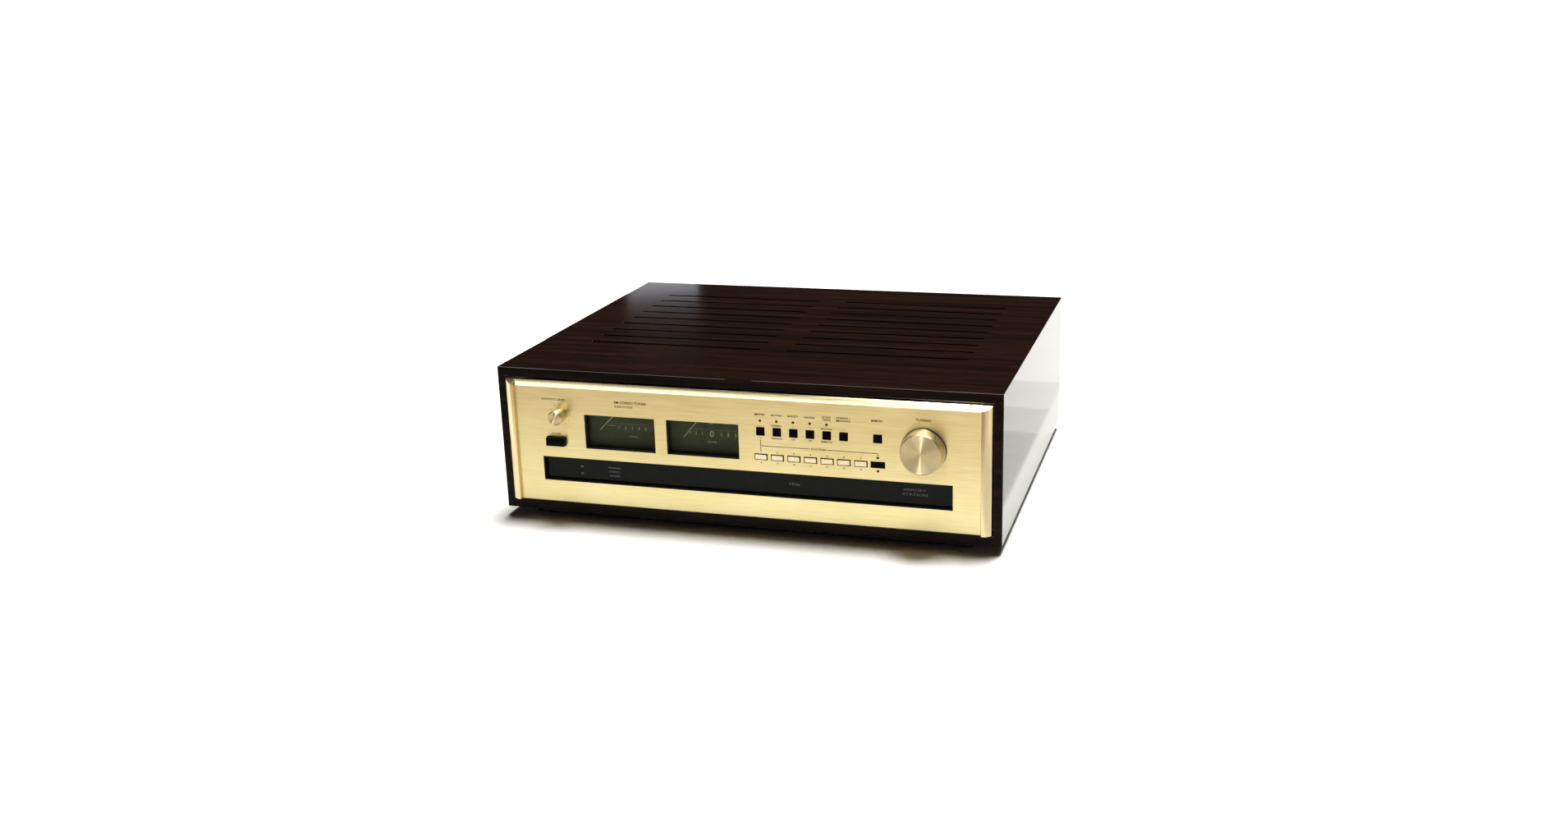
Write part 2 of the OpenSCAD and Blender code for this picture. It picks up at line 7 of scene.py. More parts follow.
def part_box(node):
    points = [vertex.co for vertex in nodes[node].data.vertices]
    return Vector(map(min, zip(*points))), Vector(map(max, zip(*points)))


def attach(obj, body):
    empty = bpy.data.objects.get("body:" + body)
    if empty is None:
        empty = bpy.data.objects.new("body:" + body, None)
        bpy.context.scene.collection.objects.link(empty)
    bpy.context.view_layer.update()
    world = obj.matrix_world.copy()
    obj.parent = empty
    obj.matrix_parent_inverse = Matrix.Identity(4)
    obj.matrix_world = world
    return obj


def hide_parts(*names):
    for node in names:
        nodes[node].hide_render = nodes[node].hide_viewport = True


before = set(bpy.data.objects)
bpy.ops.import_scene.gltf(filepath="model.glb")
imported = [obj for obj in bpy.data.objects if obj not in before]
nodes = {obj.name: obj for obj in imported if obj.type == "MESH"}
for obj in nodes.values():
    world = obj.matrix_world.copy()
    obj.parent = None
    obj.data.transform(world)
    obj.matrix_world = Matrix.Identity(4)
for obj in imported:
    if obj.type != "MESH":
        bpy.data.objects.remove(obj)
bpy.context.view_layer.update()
mm = 0.001
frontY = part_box("fascia")[0].y  # the fascia's front face
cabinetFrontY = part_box("cabinet_top")[0].y
print("stage: frame loaded,", len(nodes), "nodes")


def toLinear(hexColour):  # sRGB hex to linear RGBA
    parts = [int(hexColour[i:i + 2], 16) / 255 for i in (1, 3, 5)]
    return [p / 12.92 if p <= 0.04045 else ((p + 0.055) / 1.055) ** 2.4 for p in parts] + [1.0]


def addNode(tree, kind, values=None, links=None, stops=(), **settings):
    node = tree.nodes.new("ShaderNode" + kind)
    for name, value in settings.items():
        setattr(node, name, value)
    for name, value in (values or {}).items():
        node.inputs[name].default_value = toLinear(value) if isinstance(value, str) else value
    for name, source in (links or {}).items():
        tree.links.new(source.outputs[0] if hasattr(source, "outputs") else source, node.inputs[name])
    for i, (position, colour) in enumerate(stops):
        stop = node.color_ramp.elements[i] if i < 2 else node.color_ramp.elements.new(1.0)
        stop.position = position
        stop.color = toLinear(colour)
    return node


def newMaterial(name):  # an empty material: its tree and its Object coordinates
    material = bpy.data.materials.new(name)
    material.use_nodes = True
    tree = material.node_tree
    tree.nodes.clear()
    return material, tree, addNode(tree, "TexCoord").outputs["Object"]


def spread(low, high):  # settings that spread a noise, which lies mostly within 0.3 to 0.7, over low to high
    return {"From Min": 0.3, "From Max": 0.7, "To Min": low, "To Max": high}


# materials; every size in them is in millimetres

mottleRatio = 14  # how much broader the mottling is than the grit


def speckled(name, low, high, roughness, grit, values=None, depth=0.0, roughSpread=0.06):
    # the slight mottling and grit that moulding, plating or painting leaves
    material, tree, place = newMaterial(name)
    fine, broad = [addNode(tree, "TexNoise", {"Scale": 1 / (size * mm), "Detail": detail},
                           {"Vector": place}) for size, detail in ((grit, 2.0), (grit * mottleRatio, 3.0))]
    both = addNode(tree, "Mix", {"Factor": 0.5}, {"A": fine, "B": broad}, data_type="FLOAT")
    colour = addNode(tree, "ValToRGB", links={"Fac": both}, stops=((0.35, low), (0.65, high)))
    rough = addNode(tree, "MapRange", spread(roughness - roughSpread, roughness + roughSpread),
                    {"Value": broad})
    links = {"Base Color": colour, "Roughness": rough}
    if depth:
        links["Normal"] = addNode(tree, "Bump", {"Strength": 1.0, "Distance": depth * mm},
                                  {"Height": fine})
    shader = addNode(tree, "BsdfPrincipled", values, links)
    addNode(tree, "OutputMaterial", links={"Surface": shader})
    return material


rosewoodSet = {
    "streak": 7, "streakLong": 190, "pore": 0.7, "poreLong": 22, "poreShare": 0.42, "swell": 16,
    "peel": 0.04,
    "tones": ((0.36, "#080505"), (0.68, "#2e170f"), (0.48, "#110908"), (0.56, "#1c0f0a"))}


def lacqueredRosewood(name, along, gloss):
    # rosewood veneer under a poured clear lacquer: near-black streaks, red-brown between them, a wet gloss
    s = rosewoodSet
    material, tree, place = newMaterial(name)
    figure = [1 / (s["streak"] * mm)] * 3
    figure[along] = 1 / (s["streakLong"] * mm)
    pore = [1 / (s["pore"] * mm)] * 3
    pore[along] = 1 / (s["poreLong"] * mm)  # the real pores are finer, and are drawn wide enough to show
    streakSpace = addNode(tree, "Mapping", {"Scale": figure}, {"Vector": place})
    streaks = addNode(tree, "TexNoise", {"Scale": 1.0, "Detail": 4.0, "Roughness": 0.62},
                      {"Vector": streakSpace})
    poreSpace = addNode(tree, "Mapping", {"Scale": pore}, {"Vector": place})
    pores = addNode(tree, "TexNoise", {"Scale": 1.0, "Detail": 2.0}, {"Vector": poreSpace})
    both = addNode(tree, "Mix", {"Factor": s["poreShare"]}, {"A": streaks, "B": pores},
                   data_type="FLOAT")
    colour = addNode(tree, "ValToRGB", links={"Fac": both}, stops=s["tones"])
    swell = addNode(tree, "TexNoise", {"Scale": 1 / (s["swell"] * mm), "Detail": 2.0},
                    {"Vector": place})
    peel = addNode(tree, "Bump", {"Strength": 0.2, "Distance": s["peel"] * mm},
                   {"Height": swell})  # the lacquer's orange peel
    shader = addNode(tree, "BsdfPrincipled", {"Roughness": 0.6, "Specular IOR Level": 0.0, **gloss},
                     {"Base Color": colour, "Coat Normal": peel})
    addNode(tree, "OutputMaterial", links={"Surface": shader})
    return material


def brushedAluminium(name, low, high, roughness, lineSizes, depth, anisotropy):
    # aluminium brushed in one direction, then anodised: fine lines, and highlights drawn out across them
    material, tree, place = newMaterial(name)
    lineSpace = addNode(tree, "Mapping", {"Scale": [1 / (size * mm) for size in lineSizes]},
                        {"Vector": place})
    lines = addNode(tree, "TexNoise", {"Scale": 1.0, "Detail": 3.0, "Roughness": 0.6},
                    {"Vector": lineSpace})
    broad = addNode(tree, "TexNoise", {"Scale": 1 / (60 * mm), "Detail": 2.0}, {"Vector": place})
    both = addNode(tree, "Mix", {"Factor": 0.3}, {"A": lines, "B": broad}, data_type="FLOAT")
    colour = addNode(tree, "ValToRGB", links={"Fac": both}, stops=((0.35, low), (0.65, high)))
    rough = addNode(tree, "MapRange", spread(roughness - 0.05, roughness + 0.07), {"Value": lines})
    scratch = addNode(tree, "Bump", {"Strength": 1.0, "Distance": depth * mm}, {"Height": lines})
    tangent = addNode(tree, "Tangent", direction_type="RADIAL", axis="X")
    shader = addNode(tree, "BsdfPrincipled", {"Metallic": 1.0, "Anisotropic": anisotropy},
                     {"Base Color": colour, "Roughness": rough, "Normal": scratch, "Tangent": tangent})
    addNode(tree, "OutputMaterial", links={"Surface": shader})
    return material


turnedSet = {"ring": 0.35, "groove": 0.004, "roughness": 0.44}


def turnedAluminium(name, centre, low, high):
    # a knob faced on a lathe: rings too fine to see one by one, and a highlight fanned out from the middle
    s = turnedSet
    material, tree, place = newMaterial(name)
    moved = addNode(tree, "Mapping", {"Location": (-centre[0] * mm, 0, -centre[1] * mm)},
                    {"Vector": place})
    parts = addNode(tree, "SeparateXYZ", links={"Vector": moved})
    flat = addNode(tree, "CombineXYZ", links={"X": parts.outputs["X"], "Y": parts.outputs["Z"]})
    radius = addNode(tree, "VectorMath", links={0: flat}, operation="LENGTH").outputs["Value"]
    ringSpace = addNode(tree, "CombineXYZ", links={"X": radius, "Y": parts.outputs["Y"]})
    rings = addNode(tree, "TexNoise", {"Scale": 1 / (s["ring"] * mm), "Detail": 2.0},
                    {"Vector": ringSpace})
    colour = addNode(tree, "ValToRGB", links={"Fac": rings}, stops=((0.35, low), (0.65, high)))
    rough = addNode(tree, "MapRange", spread(s["roughness"] - 0.04, s["roughness"] + 0.05),
                    {"Value": rings})
    grooves = addNode(tree, "Bump", {"Strength": 1.0, "Distance": s["groove"] * mm},
                      {"Height": rings})
    tangent = addNode(tree, "Tangent", direction_type="RADIAL", axis="Y")
    shader = addNode(tree, "BsdfPrincipled",
                     {"Metallic": 1.0, "Anisotropic": 1.0, "Anisotropic Rotation": 0.25},
                     {"Base Color": colour, "Roughness": rough, "Normal": grooves, "Tangent": tangent})
    addNode(tree, "OutputMaterial", links={"Surface": shader})
    return material


def clearAcrylic(name, tint, index):
    # cast acrylic, polished: light goes straight through it, a little darker, and its face mirrors faintly
    material, tree, place = newMaterial(name)
    haze = addNode(tree, "TexNoise", {"Scale": 1 / (9 * mm), "Detail": 3.0}, {"Vector": place})
    rough = addNode(tree, "MapRange", spread(0.01, 0.05), {"Value": haze})
    clear = addNode(tree, "BsdfTransparent", {"Color": tint})
    mirror = addNode(tree, "BsdfGlossy", {"Color": "#ffffff"}, {"Roughness": rough})
    bend = addNode(tree, "Fresnel", {"IOR": index})
    both = addNode(tree, "MixShader", links={0: bend, 1: clear, 2: mirror})
    addNode(tree, "OutputMaterial", links={"Surface": both})
    return material


boardSet = {"track": 6, "copper": 0.09, "raised": 0.04}


def glassEpoxyBoard(name, low, high):
    # glass-epoxy board, etched and masked: copper tracks show as raised lighter paths under a thin gloss
    s = boardSet
    material, tree, place = newMaterial(name)
    tracks = addNode(tree, "TexVoronoi", {"Scale": 1 / (s["track"] * mm)}, {"Vector": place},
                     feature="DISTANCE_TO_EDGE").outputs["Distance"]
    edge = addNode(tree, "Math", {1: s["copper"]}, {0: tracks}, operation="LESS_THAN")
    colour = addNode(tree, "ValToRGB", links={"Fac": edge}, stops=((0.0, low), (1.0, high)))
    raised = addNode(tree, "Bump", {"Strength": 1.0, "Distance": s["raised"] * mm}, {"Height": edge})
    shader = addNode(tree, "BsdfPrincipled", {"Roughness": 0.35, "Coat Weight": 0.4},
                     {"Base Color": colour, "Normal": raised})
    addNode(tree, "OutputMaterial", links={"Surface": shader})
    return material


polished = {"Coat Weight": 1.0, "Coat Roughness": 0.09, "Coat IOR": 1.55}
satin = {"Coat Weight": 0.2, "Coat Roughness": 0.35, "Coat IOR": 1.4}
plain = {"Specular IOR Level": 0.5}
soft = {"Specular IOR Level": 0.2}
dull = {"Specular IOR Level": 0.12}
faint = {"Specular IOR Level": 0.08}
deep = {"Specular IOR Level": 0.04}
metal = {"Metallic": 1.0}
knobPlaces = {"tuning": (165.7, 91.7), "level": (-171.2, 102.5)}
finishes = {
    # cabinet
    "rosewoodAcross": (lacqueredRosewood, 0, polished),
    "rosewoodUp": (lacqueredRosewood, 2, polished),
    "rosewoodEdge": (lacqueredRosewood, 0, satin),  # sawn edges take the lacquer thinner and duller
    "stainedBeech": (speckled, "#0e0b0a", "#1b1513", 0.45, 0.8, plain, 0.02),  # nearly black, planed
    "mouldedRubber": (speckled, "#0c0c0c", "#171717", 0.8, 0.3, plain, 0.02),  # dull and dusty black
    # fascia: champagne gold anodising over brushed, ground or turned aluminium
    "brushedGold": (brushedAluminium, "#dccd92", "#f1e5b2", 0.33, (30, 4, 0.4), 0.004, 0.75),
    "polishedBevel": (brushedAluminium, "#d8c9a0", "#e2d4ae", 0.22, (60, 0.6, 0.6), 0.001, 0.3),
    "satinGoldTrim": (brushedAluminium, "#d9c698", "#e6d6ac", 0.3, (0.5, 0.5, 40), 0.002, 0.75),
    "turnedTuningKnob": (turnedAluminium, knobPlaces["tuning"], "#dac99c", "#ebdfb6"),
    "turnedLevelKnob": (turnedAluminium, knobPlaces["level"], "#dfcfa2", "#eee0b8"),
    "turnedKnobSide": (speckled, "#cdbc92", "#dccea6", 0.42, 0.4, metal, 0.002),  # fine turned satin
    "goldKeyCap": (brushedAluminium, "#ece0bc", "#f6ecca", 0.3, (8, 0.4, 0.4), 0.002, 0.3),
    "blackKeyCap": (speckled, "#030304", "#070708", 0.34, 0.25, deep, 0.006),  # moulded ABS, fine satin
    "blackMouldingAndShade": (speckled, "#060606", "#101010", 0.5, 0.3, plain, 0.01),  # moulded ABS, duller; on the fascia's hole walls and in screw recesses it is painted shade
    "gapShadeBrown": (speckled, "#150b04", "#20130a", 0.5, 0.3, dull),  # brown-black: painted shade for the gaps round the preset keys and round the tuning knob's foot
    "smokedDial": (speckled, "#0b0e09", "#12150f", 0.08, 6, faint, 0, 0.02),  # cast acrylic, dark and glossy
    "meterPane": (clearAcrylic, "#e4e8de", 1.2),
    "scaleLacquer": (speckled, "#5c6056", "#6c7065", 0.6, 0.4, soft, 0.004),  # sprayed, flat grey-green
    "needlePaint": (speckled, "#f0f0e6", "#fafaf2", 0.45, 0.3, plain),  # sprayed white, even
    "whiteInk": (speckled, "#c4cabd", "#d6dbcf", 0.6, 0.5, plain),  # silk-screened, a little thin
    "greyInk": (speckled, "#3c4138", "#4b5046", 0.6, 0.5, plain),  # silk-screened dim grey for unlit words
    "brownInk": (speckled, "#1a1008", "#26190e", 0.55, 0.4, dull),  # silk-screened dark brown
    "redLens": (speckled, "#5e1008", "#801c10", 0.25, 0.6, plain),  # moulded acrylic, unlit
    # back, underside and inside
    "zincPlate": (speckled, "#9a9a90", "#bcbcb4", 0.35, 2.5, metal, 0.004, 0.1),  # cloudy grey spangle
    "texturePaint": (speckled, "#1b1c1b", "#2b2c2a", 0.6, 0.7, plain, 0.06),  # baked paint, pebbled
    "nickelPlate": (speckled, "#b9b9b4", "#d6d6d2", 0.22, 0.6, metal, 0.001),  # bright, a little warm
    "turnedSteel": (speckled, "#b4b4b2", "#cfcfcc", 0.25, 0.5, metal, 0.002),  # bright, cool
    "glassEpoxy": (glassEpoxyBoard, "#2f3f1f", "#56632f"),
    "diecastZinc": (speckled, "#5e5e58", "#7b7b74", 0.4, 1.2, metal, 0.004),  # grey, slightly cloudy
    "displayGlass": (speckled, "#1a2320", "#27332f", 0.06, 3, {"Coat Weight": 1.0}),  # drawn, glossy
    "coreLacquer": (speckled, "#262624", "#3a3a36", 0.45, 0.5, plain, 0.03),  # dipped, runs a little
    "vinylSleeve": (speckled, "#15243a", "#203450", 0.3, 3, plain, 0.01),  # heat-shrunk, smooth blue
    "anodisedBlack": (speckled, "#0b0b0c", "#151517", 0.42, 0.4, metal, 0.003),  # extruded, satin
    "tinPlate": (speckled, "#b3b3ab", "#cdcdc6", 0.3, 2, metal, 0.003),  # hot dipped, soft bright clouds
    "phenolicBoard": (speckled, "#21170f", "#33251a", 0.45, 0.9, plain, 0.01),  # pressed, brown fleck
    "gildedBrass": (speckled, "#d3aa4a", "#e8c670", 0.2, 0.5, metal, 0.001),  # turned and plated, bright
    "glossAbs": (speckled, "#0d0d0e", "#171718", 0.18, 0.6, plain, 0.003),  # moulded, shiny black
    "redNylon": (speckled, "#8e1c17", "#a82a22", 0.4, 0.8, plain),  # moulded insulator
    "whiteNylon": (speckled, "#dcdad0", "#ecebe4", 0.4, 0.8, plain),  # moulded insulator
    "rearInk": (speckled, "#b8b8b0", "#cacac2", 0.6, 0.5, plain),  # silk-screened light grey
}
materials = {name: make(name, *told) for name, (make, *told) in finishes.items()}
print("stage:", len(materials), "materials")

# camera, floor and lights, in metres

cameraSet = {
    "place": (0.4277, cabinetFrontY - 1.2230, 0.5041), "lens": 35.37, "sensor": 36, "clipEnd": 200,
    "yaw": 17.53, "pitch": -16.74, "roll": -1.71}


def makeCamera():
    s = cameraSet
    data = bpy.data.cameras.new("camera")
    data.lens = s["lens"]
    data.sensor_width = s["sensor"]
    data.clip_end = s["clipEnd"]
    camera = bpy.data.objects.new("camera", data)
    yaw = Matrix.Rotation(math.radians(s["yaw"]), 4, "Z")
    tilt = Matrix.Rotation(math.radians(90 + s["pitch"]), 4, "X")
    roll = Matrix.Rotation(math.radians(s["roll"]), 4, "Z")
    camera.matrix_world = Matrix.Translation(s["place"]) @ yaw @ tilt @ roll
    bpy.context.scene.collection.objects.link(camera)
    bpy.context.scene.camera = camera


def shift(shape, vec, verts=None):  # moves some of a shape's points, or all of them
    bmesh.ops.translate(shape, vec=vec, verts=verts or shape.verts)


def turn(shape, degrees, axis, verts=None):
    matrix = Matrix.Rotation(math.radians(degrees), 3, axis)
    bmesh.ops.rotate(shape, matrix=matrix, verts=verts or shape.verts)


def flatSheet(low, high, height=0.0):  # one face that looks up, from corner to corner
    shape = bmesh.new()
    bmesh.ops.create_grid(shape, x_segments=1, y_segments=1, size=0.5)
    bmesh.ops.scale(shape, vec=(high[0] - low[0], high[1] - low[1], 1), verts=shape.verts)
    middle = ((low[0] + high[0]) / 2, (low[1] + high[1]) / 2, height)
    shift(shape, middle)
    return shape


def makeStagePiece(name, shape, finish, hiddenFrom=()):
    mesh = bpy.data.meshes.new(name)
    shape.to_mesh(mesh)
    shape.free()
    mesh.materials.append(finish)
    piece = bpy.data.objects.new(name, mesh)
    bpy.context.scene.collection.objects.link(piece)
    for kind in hiddenFrom:
        setattr(piece, "visible_" + kind, False)


stageSet = {
    "floorHalf": 60, "cardHeight": 0.004, "backdropRadius": 30, "backdropHeight": 50,
    "floorPaper": (0.9, 4, {"Specular IOR Level": 0.1}),
    "cardPaint": (0.9, 9, {"Specular IOR Level": 0.1}),
    "backdropPaper": (0.9, 400, {"Specular IOR Level": 0.0, "Emission Color": "#fbfbfa",
                                 "Emission Strength": 1.0}),
    "cards": {"frontCard": ((-3, -3.4), (3, -0.37), "#a08e7d", "#ac9a89"),
              "sideCardDark": ((0.25, -0.3), (1.6, 0.16), "#bebebb", "#c8c8c6"),
              "sideCardMiddle": ((0.25, 0.16), (1.6, 0.25), "#cfcfcc", "#d8d8d5"),
              "sideCardLight": ((0.25, 0.25), (1.6, 0.36), "#e0e0dd", "#e8e8e5")}}


def makeStage():
    s = stageSet
    half = s["floorHalf"]
    makeStagePiece("floor", flatSheet((-half, -half), (half, half)),
                   speckled("paperFloor", "#f1f1ee", "#f7f7f5", *s["floorPaper"]))
    for name, (low, high, dark, light) in s["cards"].items():  # only mirrored in the polished parts: painted reflections, the front card a darker brown surround, the side cards the floor's contact shade beside the cabinet
        makeStagePiece(name, flatSheet(low, high, s["cardHeight"]),
                       speckled(name + "Paint", dark, light, *s["cardPaint"]),
                       ("camera", "diffuse", "shadow", "transmission"))
    shape = bmesh.new()
    bmesh.ops.create_cone(shape, segments=64, radius1=s["backdropRadius"], radius2=s["backdropRadius"],
                          depth=s["backdropHeight"])
    makeStagePiece("backdrop", shape, speckled("backlitPaper", "#f1f1ee", "#f7f7f5", *s["backdropPaper"]),
                   ("diffuse", "glossy", "shadow", "transmission"))  # only closes the view behind the floor


lightSet = {
    "sky": {"kind": "SUN", "energy": 5.2, "angle": 20, "aim": (-0.05, -0.19, -1), "colour": "#fffefc"},
    "overhead": {"kind": "AREA", "energy": 10, "place": (0.6, 0.8, 1.5), "target": (0.45, 0.7, 0),
                 "size": (0.6, 0.6), "colour": "#fffdf8"},
    "bevelCard": {"kind": "AREA", "energy": 18, "place": (-0.9, -2.6, 1.6), "target": (0, -0.18, 0.13),
                  "size": (2.2, 0.7), "colour": "#fffdf6", "mirroredOnly": True},
    "knobStrip": {"kind": "AREA", "energy": 8, "place": (-0.02, -1.04, 1.32), "target": (0.166, -0.19, 0.09),
                  "size": (0.05, 0.4), "colour": "#fffdf6", "mirroredOnly": True},
    "backCard": {"kind": "AREA", "energy": 0.1, "place": (-1.51, 3.4, 0.84), "target": (-0.2, 0.2, 0.14),
                 "size": (0.24, 0.1), "colour": "#f4f6ff", "mirroredOnly": True},
}
worldSet = {"Color": "#dcb494", "Strength": 0.036}


def makeLights():
    for name, s in lightSet.items():
        data = bpy.data.lights.new(name, s["kind"])
        data.energy = s["energy"]
        data.color = toLinear(s["colour"])[:3]
        light = bpy.data.objects.new(name, data)
        if s["kind"] == "SUN":
            data.angle = math.radians(s["angle"])
            aim = Vector(s["aim"])
        else:
            data.shape = "RECTANGLE"
            data.size, data.size_y = s["size"]
            light.location = s["place"]
            aim = Vector(s["target"]) - Vector(s["place"])
        light.visible_camera = False
        light.visible_diffuse = not s.get("mirroredOnly")  # such a light only shows in the polished parts
        light.rotation_euler = aim.to_track_quat("-Z", "Y").to_euler()
        bpy.context.scene.collection.objects.link(light)
    world = bpy.data.worlds.new("studio")
    world.use_nodes = True
    background = world.node_tree.nodes["Background"].inputs
    background["Color"].default_value = toLinear(worldSet["Color"])
    background["Strength"].default_value = worldSet["Strength"]
    bpy.context.scene.world = world
    bpy.context.scene.view_settings.view_transform = "Standard"


makeCamera()
makeStage()
makeLights()
print("stage: camera, floor and lights")

# finishes on the CAD nodes; the mode keys are black and the preset keys gold

finishNodes = {
    "rosewoodAcross": "cabinet_top cabinet_base", "rosewoodUp": "cabinet_side_left cabinet_side_right",
    "stainedBeech": "runners", "mouldedRubber": "runner_pads", "zincPlate": "chassis_tray",
    "nickelPlate": "chassis_screws fascia_screws", "texturePaint": "front_subframe rear_panel",
    "brushedGold": "fascia", "satinGoldTrim": "end_trim_left end_trim_right", "smokedDial": "dial_window",
    "meterPane": "meter_windows",
    "blackMouldingAndShade": "meter_case_left meter_case_right key_switches power_switch",
    "scaleLacquer": "meter_scales", "needlePaint": "meter_needle_left meter_needle_right",
    "redLens": "indicator_lamps", "glassEpoxy": "key_board display_board main_board synthesizer_board",
    "blackKeyCap": "memory_button bank_button power_button", "displayGlass": "display_tube",
    "turnedTuningKnob": "tuning_knob", "turnedSteel": "tuning_shaft level_shaft",
    "diecastZinc": "tuning_encoder level_potentiometer", "turnedLevelKnob": "level_knob",
    "coreLacquer": "power_transformer", "vinylSleeve": "filter_capacitors", "anodisedBlack": "heat_sink",
    "tinPlate": "rf_shield_can", "phenolicBoard": "antenna_terminals output_plate",
    "gildedBrass": "ground_nut output_jacks", "glossAbs": "ac_inlet",
}
nodeFinish = {name: finish for finish, names in finishNodes.items() for name in names.split()}
for name, node in nodes.items():
    finish = nodeFinish.get(name, "blackKeyCap" if name.startswith("mode") else "goldKeyCap")
    node.data.materials.clear()
    node.data.materials.append(materials[finish])
print("stage: finishes on the CAD nodes")

# modelling tools; from here on every size is in millimetres

sharpAngle = math.radians(35)  # edges turned more sharply than this are softened
inkProud = 0.03  # how far a printed bar stands off the face under it
inkDepth = 0.05  # how far it reaches into that face


def boxOf(name):  # a CAD node's two corners
    low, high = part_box(name)
    return low / mm, high / mm


def finishPiece(name, shape, finish, replaced=(), body="root", smoothBelow=18, others=()):
    bmesh.ops.scale(shape, vec=(mm, mm, mm), verts=shape.verts)
    mesh = bpy.data.meshes.new(name)
    shape.to_mesh(mesh)
    shape.free()
    for used in (finish, *others):
        mesh.materials.append(materials[used])
    mesh.shade_smooth()
    mesh.set_sharp_from_angle(angle=math.radians(smoothBelow))
    piece = bpy.data.objects.new(name, mesh)
    bpy.context.scene.collection.objects.link(piece)
    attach(piece, body)
    if replaced:
        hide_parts(*replaced)


def copyOf(name):  # a CAD node's shape as clean faces, to be worked on
    shape = bmesh.new()
    shape.from_mesh(nodes[name].data)
    bmesh.ops.scale(shape, vec=(1 / mm,) * 3, verts=shape.verts)
    bmesh.ops.remove_doubles(shape, verts=shape.verts, dist=0.001)
    bmesh.ops.dissolve_limit(shape, angle_limit=0.003, verts=shape.verts, edges=shape.edges)
    return shape


def bevelEdges(shape, edges, width, segments=2):
    bmesh.ops.bevel(shape, geom=edges, offset=width, offset_type="OFFSET", segments=segments, profile=0.5,
                    affect="EDGES", clamp_overlap=True, material=-1)


def softenEdges(shape, width, segments=2, edges=None):
    chosen = [e for e in (edges or shape.edges)
              if len(e.link_faces) == 2 and e.calc_face_angle() > sharpAngle]
    bevelEdges(shape, chosen, width, segments)


def addBlock(shape, low, high):
    low, high = Vector(low), Vector(high)
    verts = bmesh.ops.create_cube(shape, size=1)["verts"]
    bmesh.ops.scale(shape, vec=high - low, verts=verts)
    shift(shape, (low + high) / 2, verts)
    return verts


def addBar(shape, x, z, w, h, face):  # a printed bar with its middle at x, z
    addBlock(shape, (x - w / 2, face - inkProud, z - h / 2), (x + w / 2, face + inkDepth, z + h / 2))


def addTurned(shape, x, y, z, profile, steps):  # points (radius, distance towards the front), turned about y
    verts = [shape.verts.new((x + radius, y - forward, z)) for radius, forward in profile]
    edges = [shape.edges.new(pair) for pair in zip(verts, verts[1:])]
    bmesh.ops.spin(shape, geom=verts + edges, cent=(x, y, z), axis=(0, 1, 0), angle=math.tau, steps=steps,
                   use_merge=True, use_duplicate=False)
    bmesh.ops.remove_doubles(shape, verts=shape.verts, dist=0.001)
    bmesh.ops.recalc_face_normals(shape, faces=shape.faces)


def joinPart(shape, part, finishIndex=0):
    for face in part.faces:
        face.material_index = finishIndex
    mesh = bpy.data.meshes.new("part")
    part.to_mesh(mesh)
    part.free()
    shape.from_mesh(mesh)
    bpy.data.meshes.remove(mesh)


def piercedPlate(outline, holes, thickness, cuts=()):
    # a plate lying face up at height 0; each hole is x0, x1, y0, y1 and its corners' radius
    x0, x1, y0, y1 = outline
    shape = flatSheet((x0, y0), (x1, y1))
    lines = {(0, p) for h in holes for p in h[:2]} | {(1, p) for h in holes for p in h[2:4]} | set(cuts)
    for axis, place in sorted(lines):
        normal = Vector((axis == 0, axis == 1, 0))
        bmesh.ops.bisect_plane(shape, geom=shape.verts[:] + shape.edges[:] + shape.faces[:], dist=1e-4,
                               plane_co=normal * place, plane_no=normal)
    inside = []
    for face in shape.faces:
        centre = face.calc_center_median()
        if any(h[0] < centre.x < h[1] and h[2] < centre.y < h[3] for h in holes):
            inside.append(face)
    bmesh.ops.delete(shape, geom=inside, context="FACES")
    made = bmesh.ops.extrude_face_region(shape, geom=shape.faces[:], use_keep_orig=True)["geom"]
    back = [v for v in made if isinstance(v, bmesh.types.BMVert)]
    shift(shape, (0, 0, -thickness), back)
    bmesh.ops.recalc_face_normals(shape, faces=shape.faces)
    for radius in sorted({h[4] for h in holes if h[4]}):
        corners = {(round(x, 2), round(y, 2)) for h in holes if h[4] == radius for x in h[:2] for y in h[2:4]}
        upright = [e for e in shape.edges if abs(e.verts[0].co.z - e.verts[1].co.z) > thickness / 2
                   and all((round(v.co.x, 2), round(v.co.y, 2)) in corners for v in e.verts)]
        bevelEdges(shape, upright, radius, 5)
    return shape


def standUp(shape, y):  # a plate made lying face up now faces the front, its face at that depth
    turn(shape, 90, "X")
    shift(shape, (0, y, 0))


wordSet = {"resolution": 3, "thicken": 0.02, "relief": 0.01, "reliefScale": 2.5, "capital": 0.69}


def addWords(shape, words, x, z, y, height, width=None, rear=False):
    # lettering that stands a little off the face at depth y; the width is that of the whole line
    s = wordSet
    curve = bpy.data.curves.new("words", "FONT")
    curve.body = words
    curve.resolution_u = s["resolution"]
    curve.offset = s["thicken"]
    curve.extrude = s["relief"]
    holder = bpy.data.objects.new("words", curve)
    mesh = bpy.data.meshes.new_from_object(holder)
    letters = bmesh.new()
    letters.from_mesh(mesh)
    bmesh.ops.remove_doubles(letters, verts=letters.verts, dist=1e-4)
    low = Vector([min(v.co[i] for v in letters.verts) for i in range(3)])
    high = Vector([max(v.co[i] for v in letters.verts) for i in range(3)])
    shift(letters, -(low + high) / 2)
    tall = height / s["capital"]  # a capital's height at size 1
    wide = width / (high.x - low.x) if width else tall
    bmesh.ops.scale(letters, vec=(wide, tall, s["reliefScale"]), verts=letters.verts)
    turn(letters, 90, "X")
    if rear:
        turn(letters, 180, "Z")
    shift(letters, (x, y, z))
    letters.to_mesh(mesh)
    letters.free()
    shape.from_mesh(mesh)
    bpy.data.objects.remove(holder)
    bpy.data.curves.remove(curve)
    bpy.data.meshes.remove(mesh)


# wooden cabinet

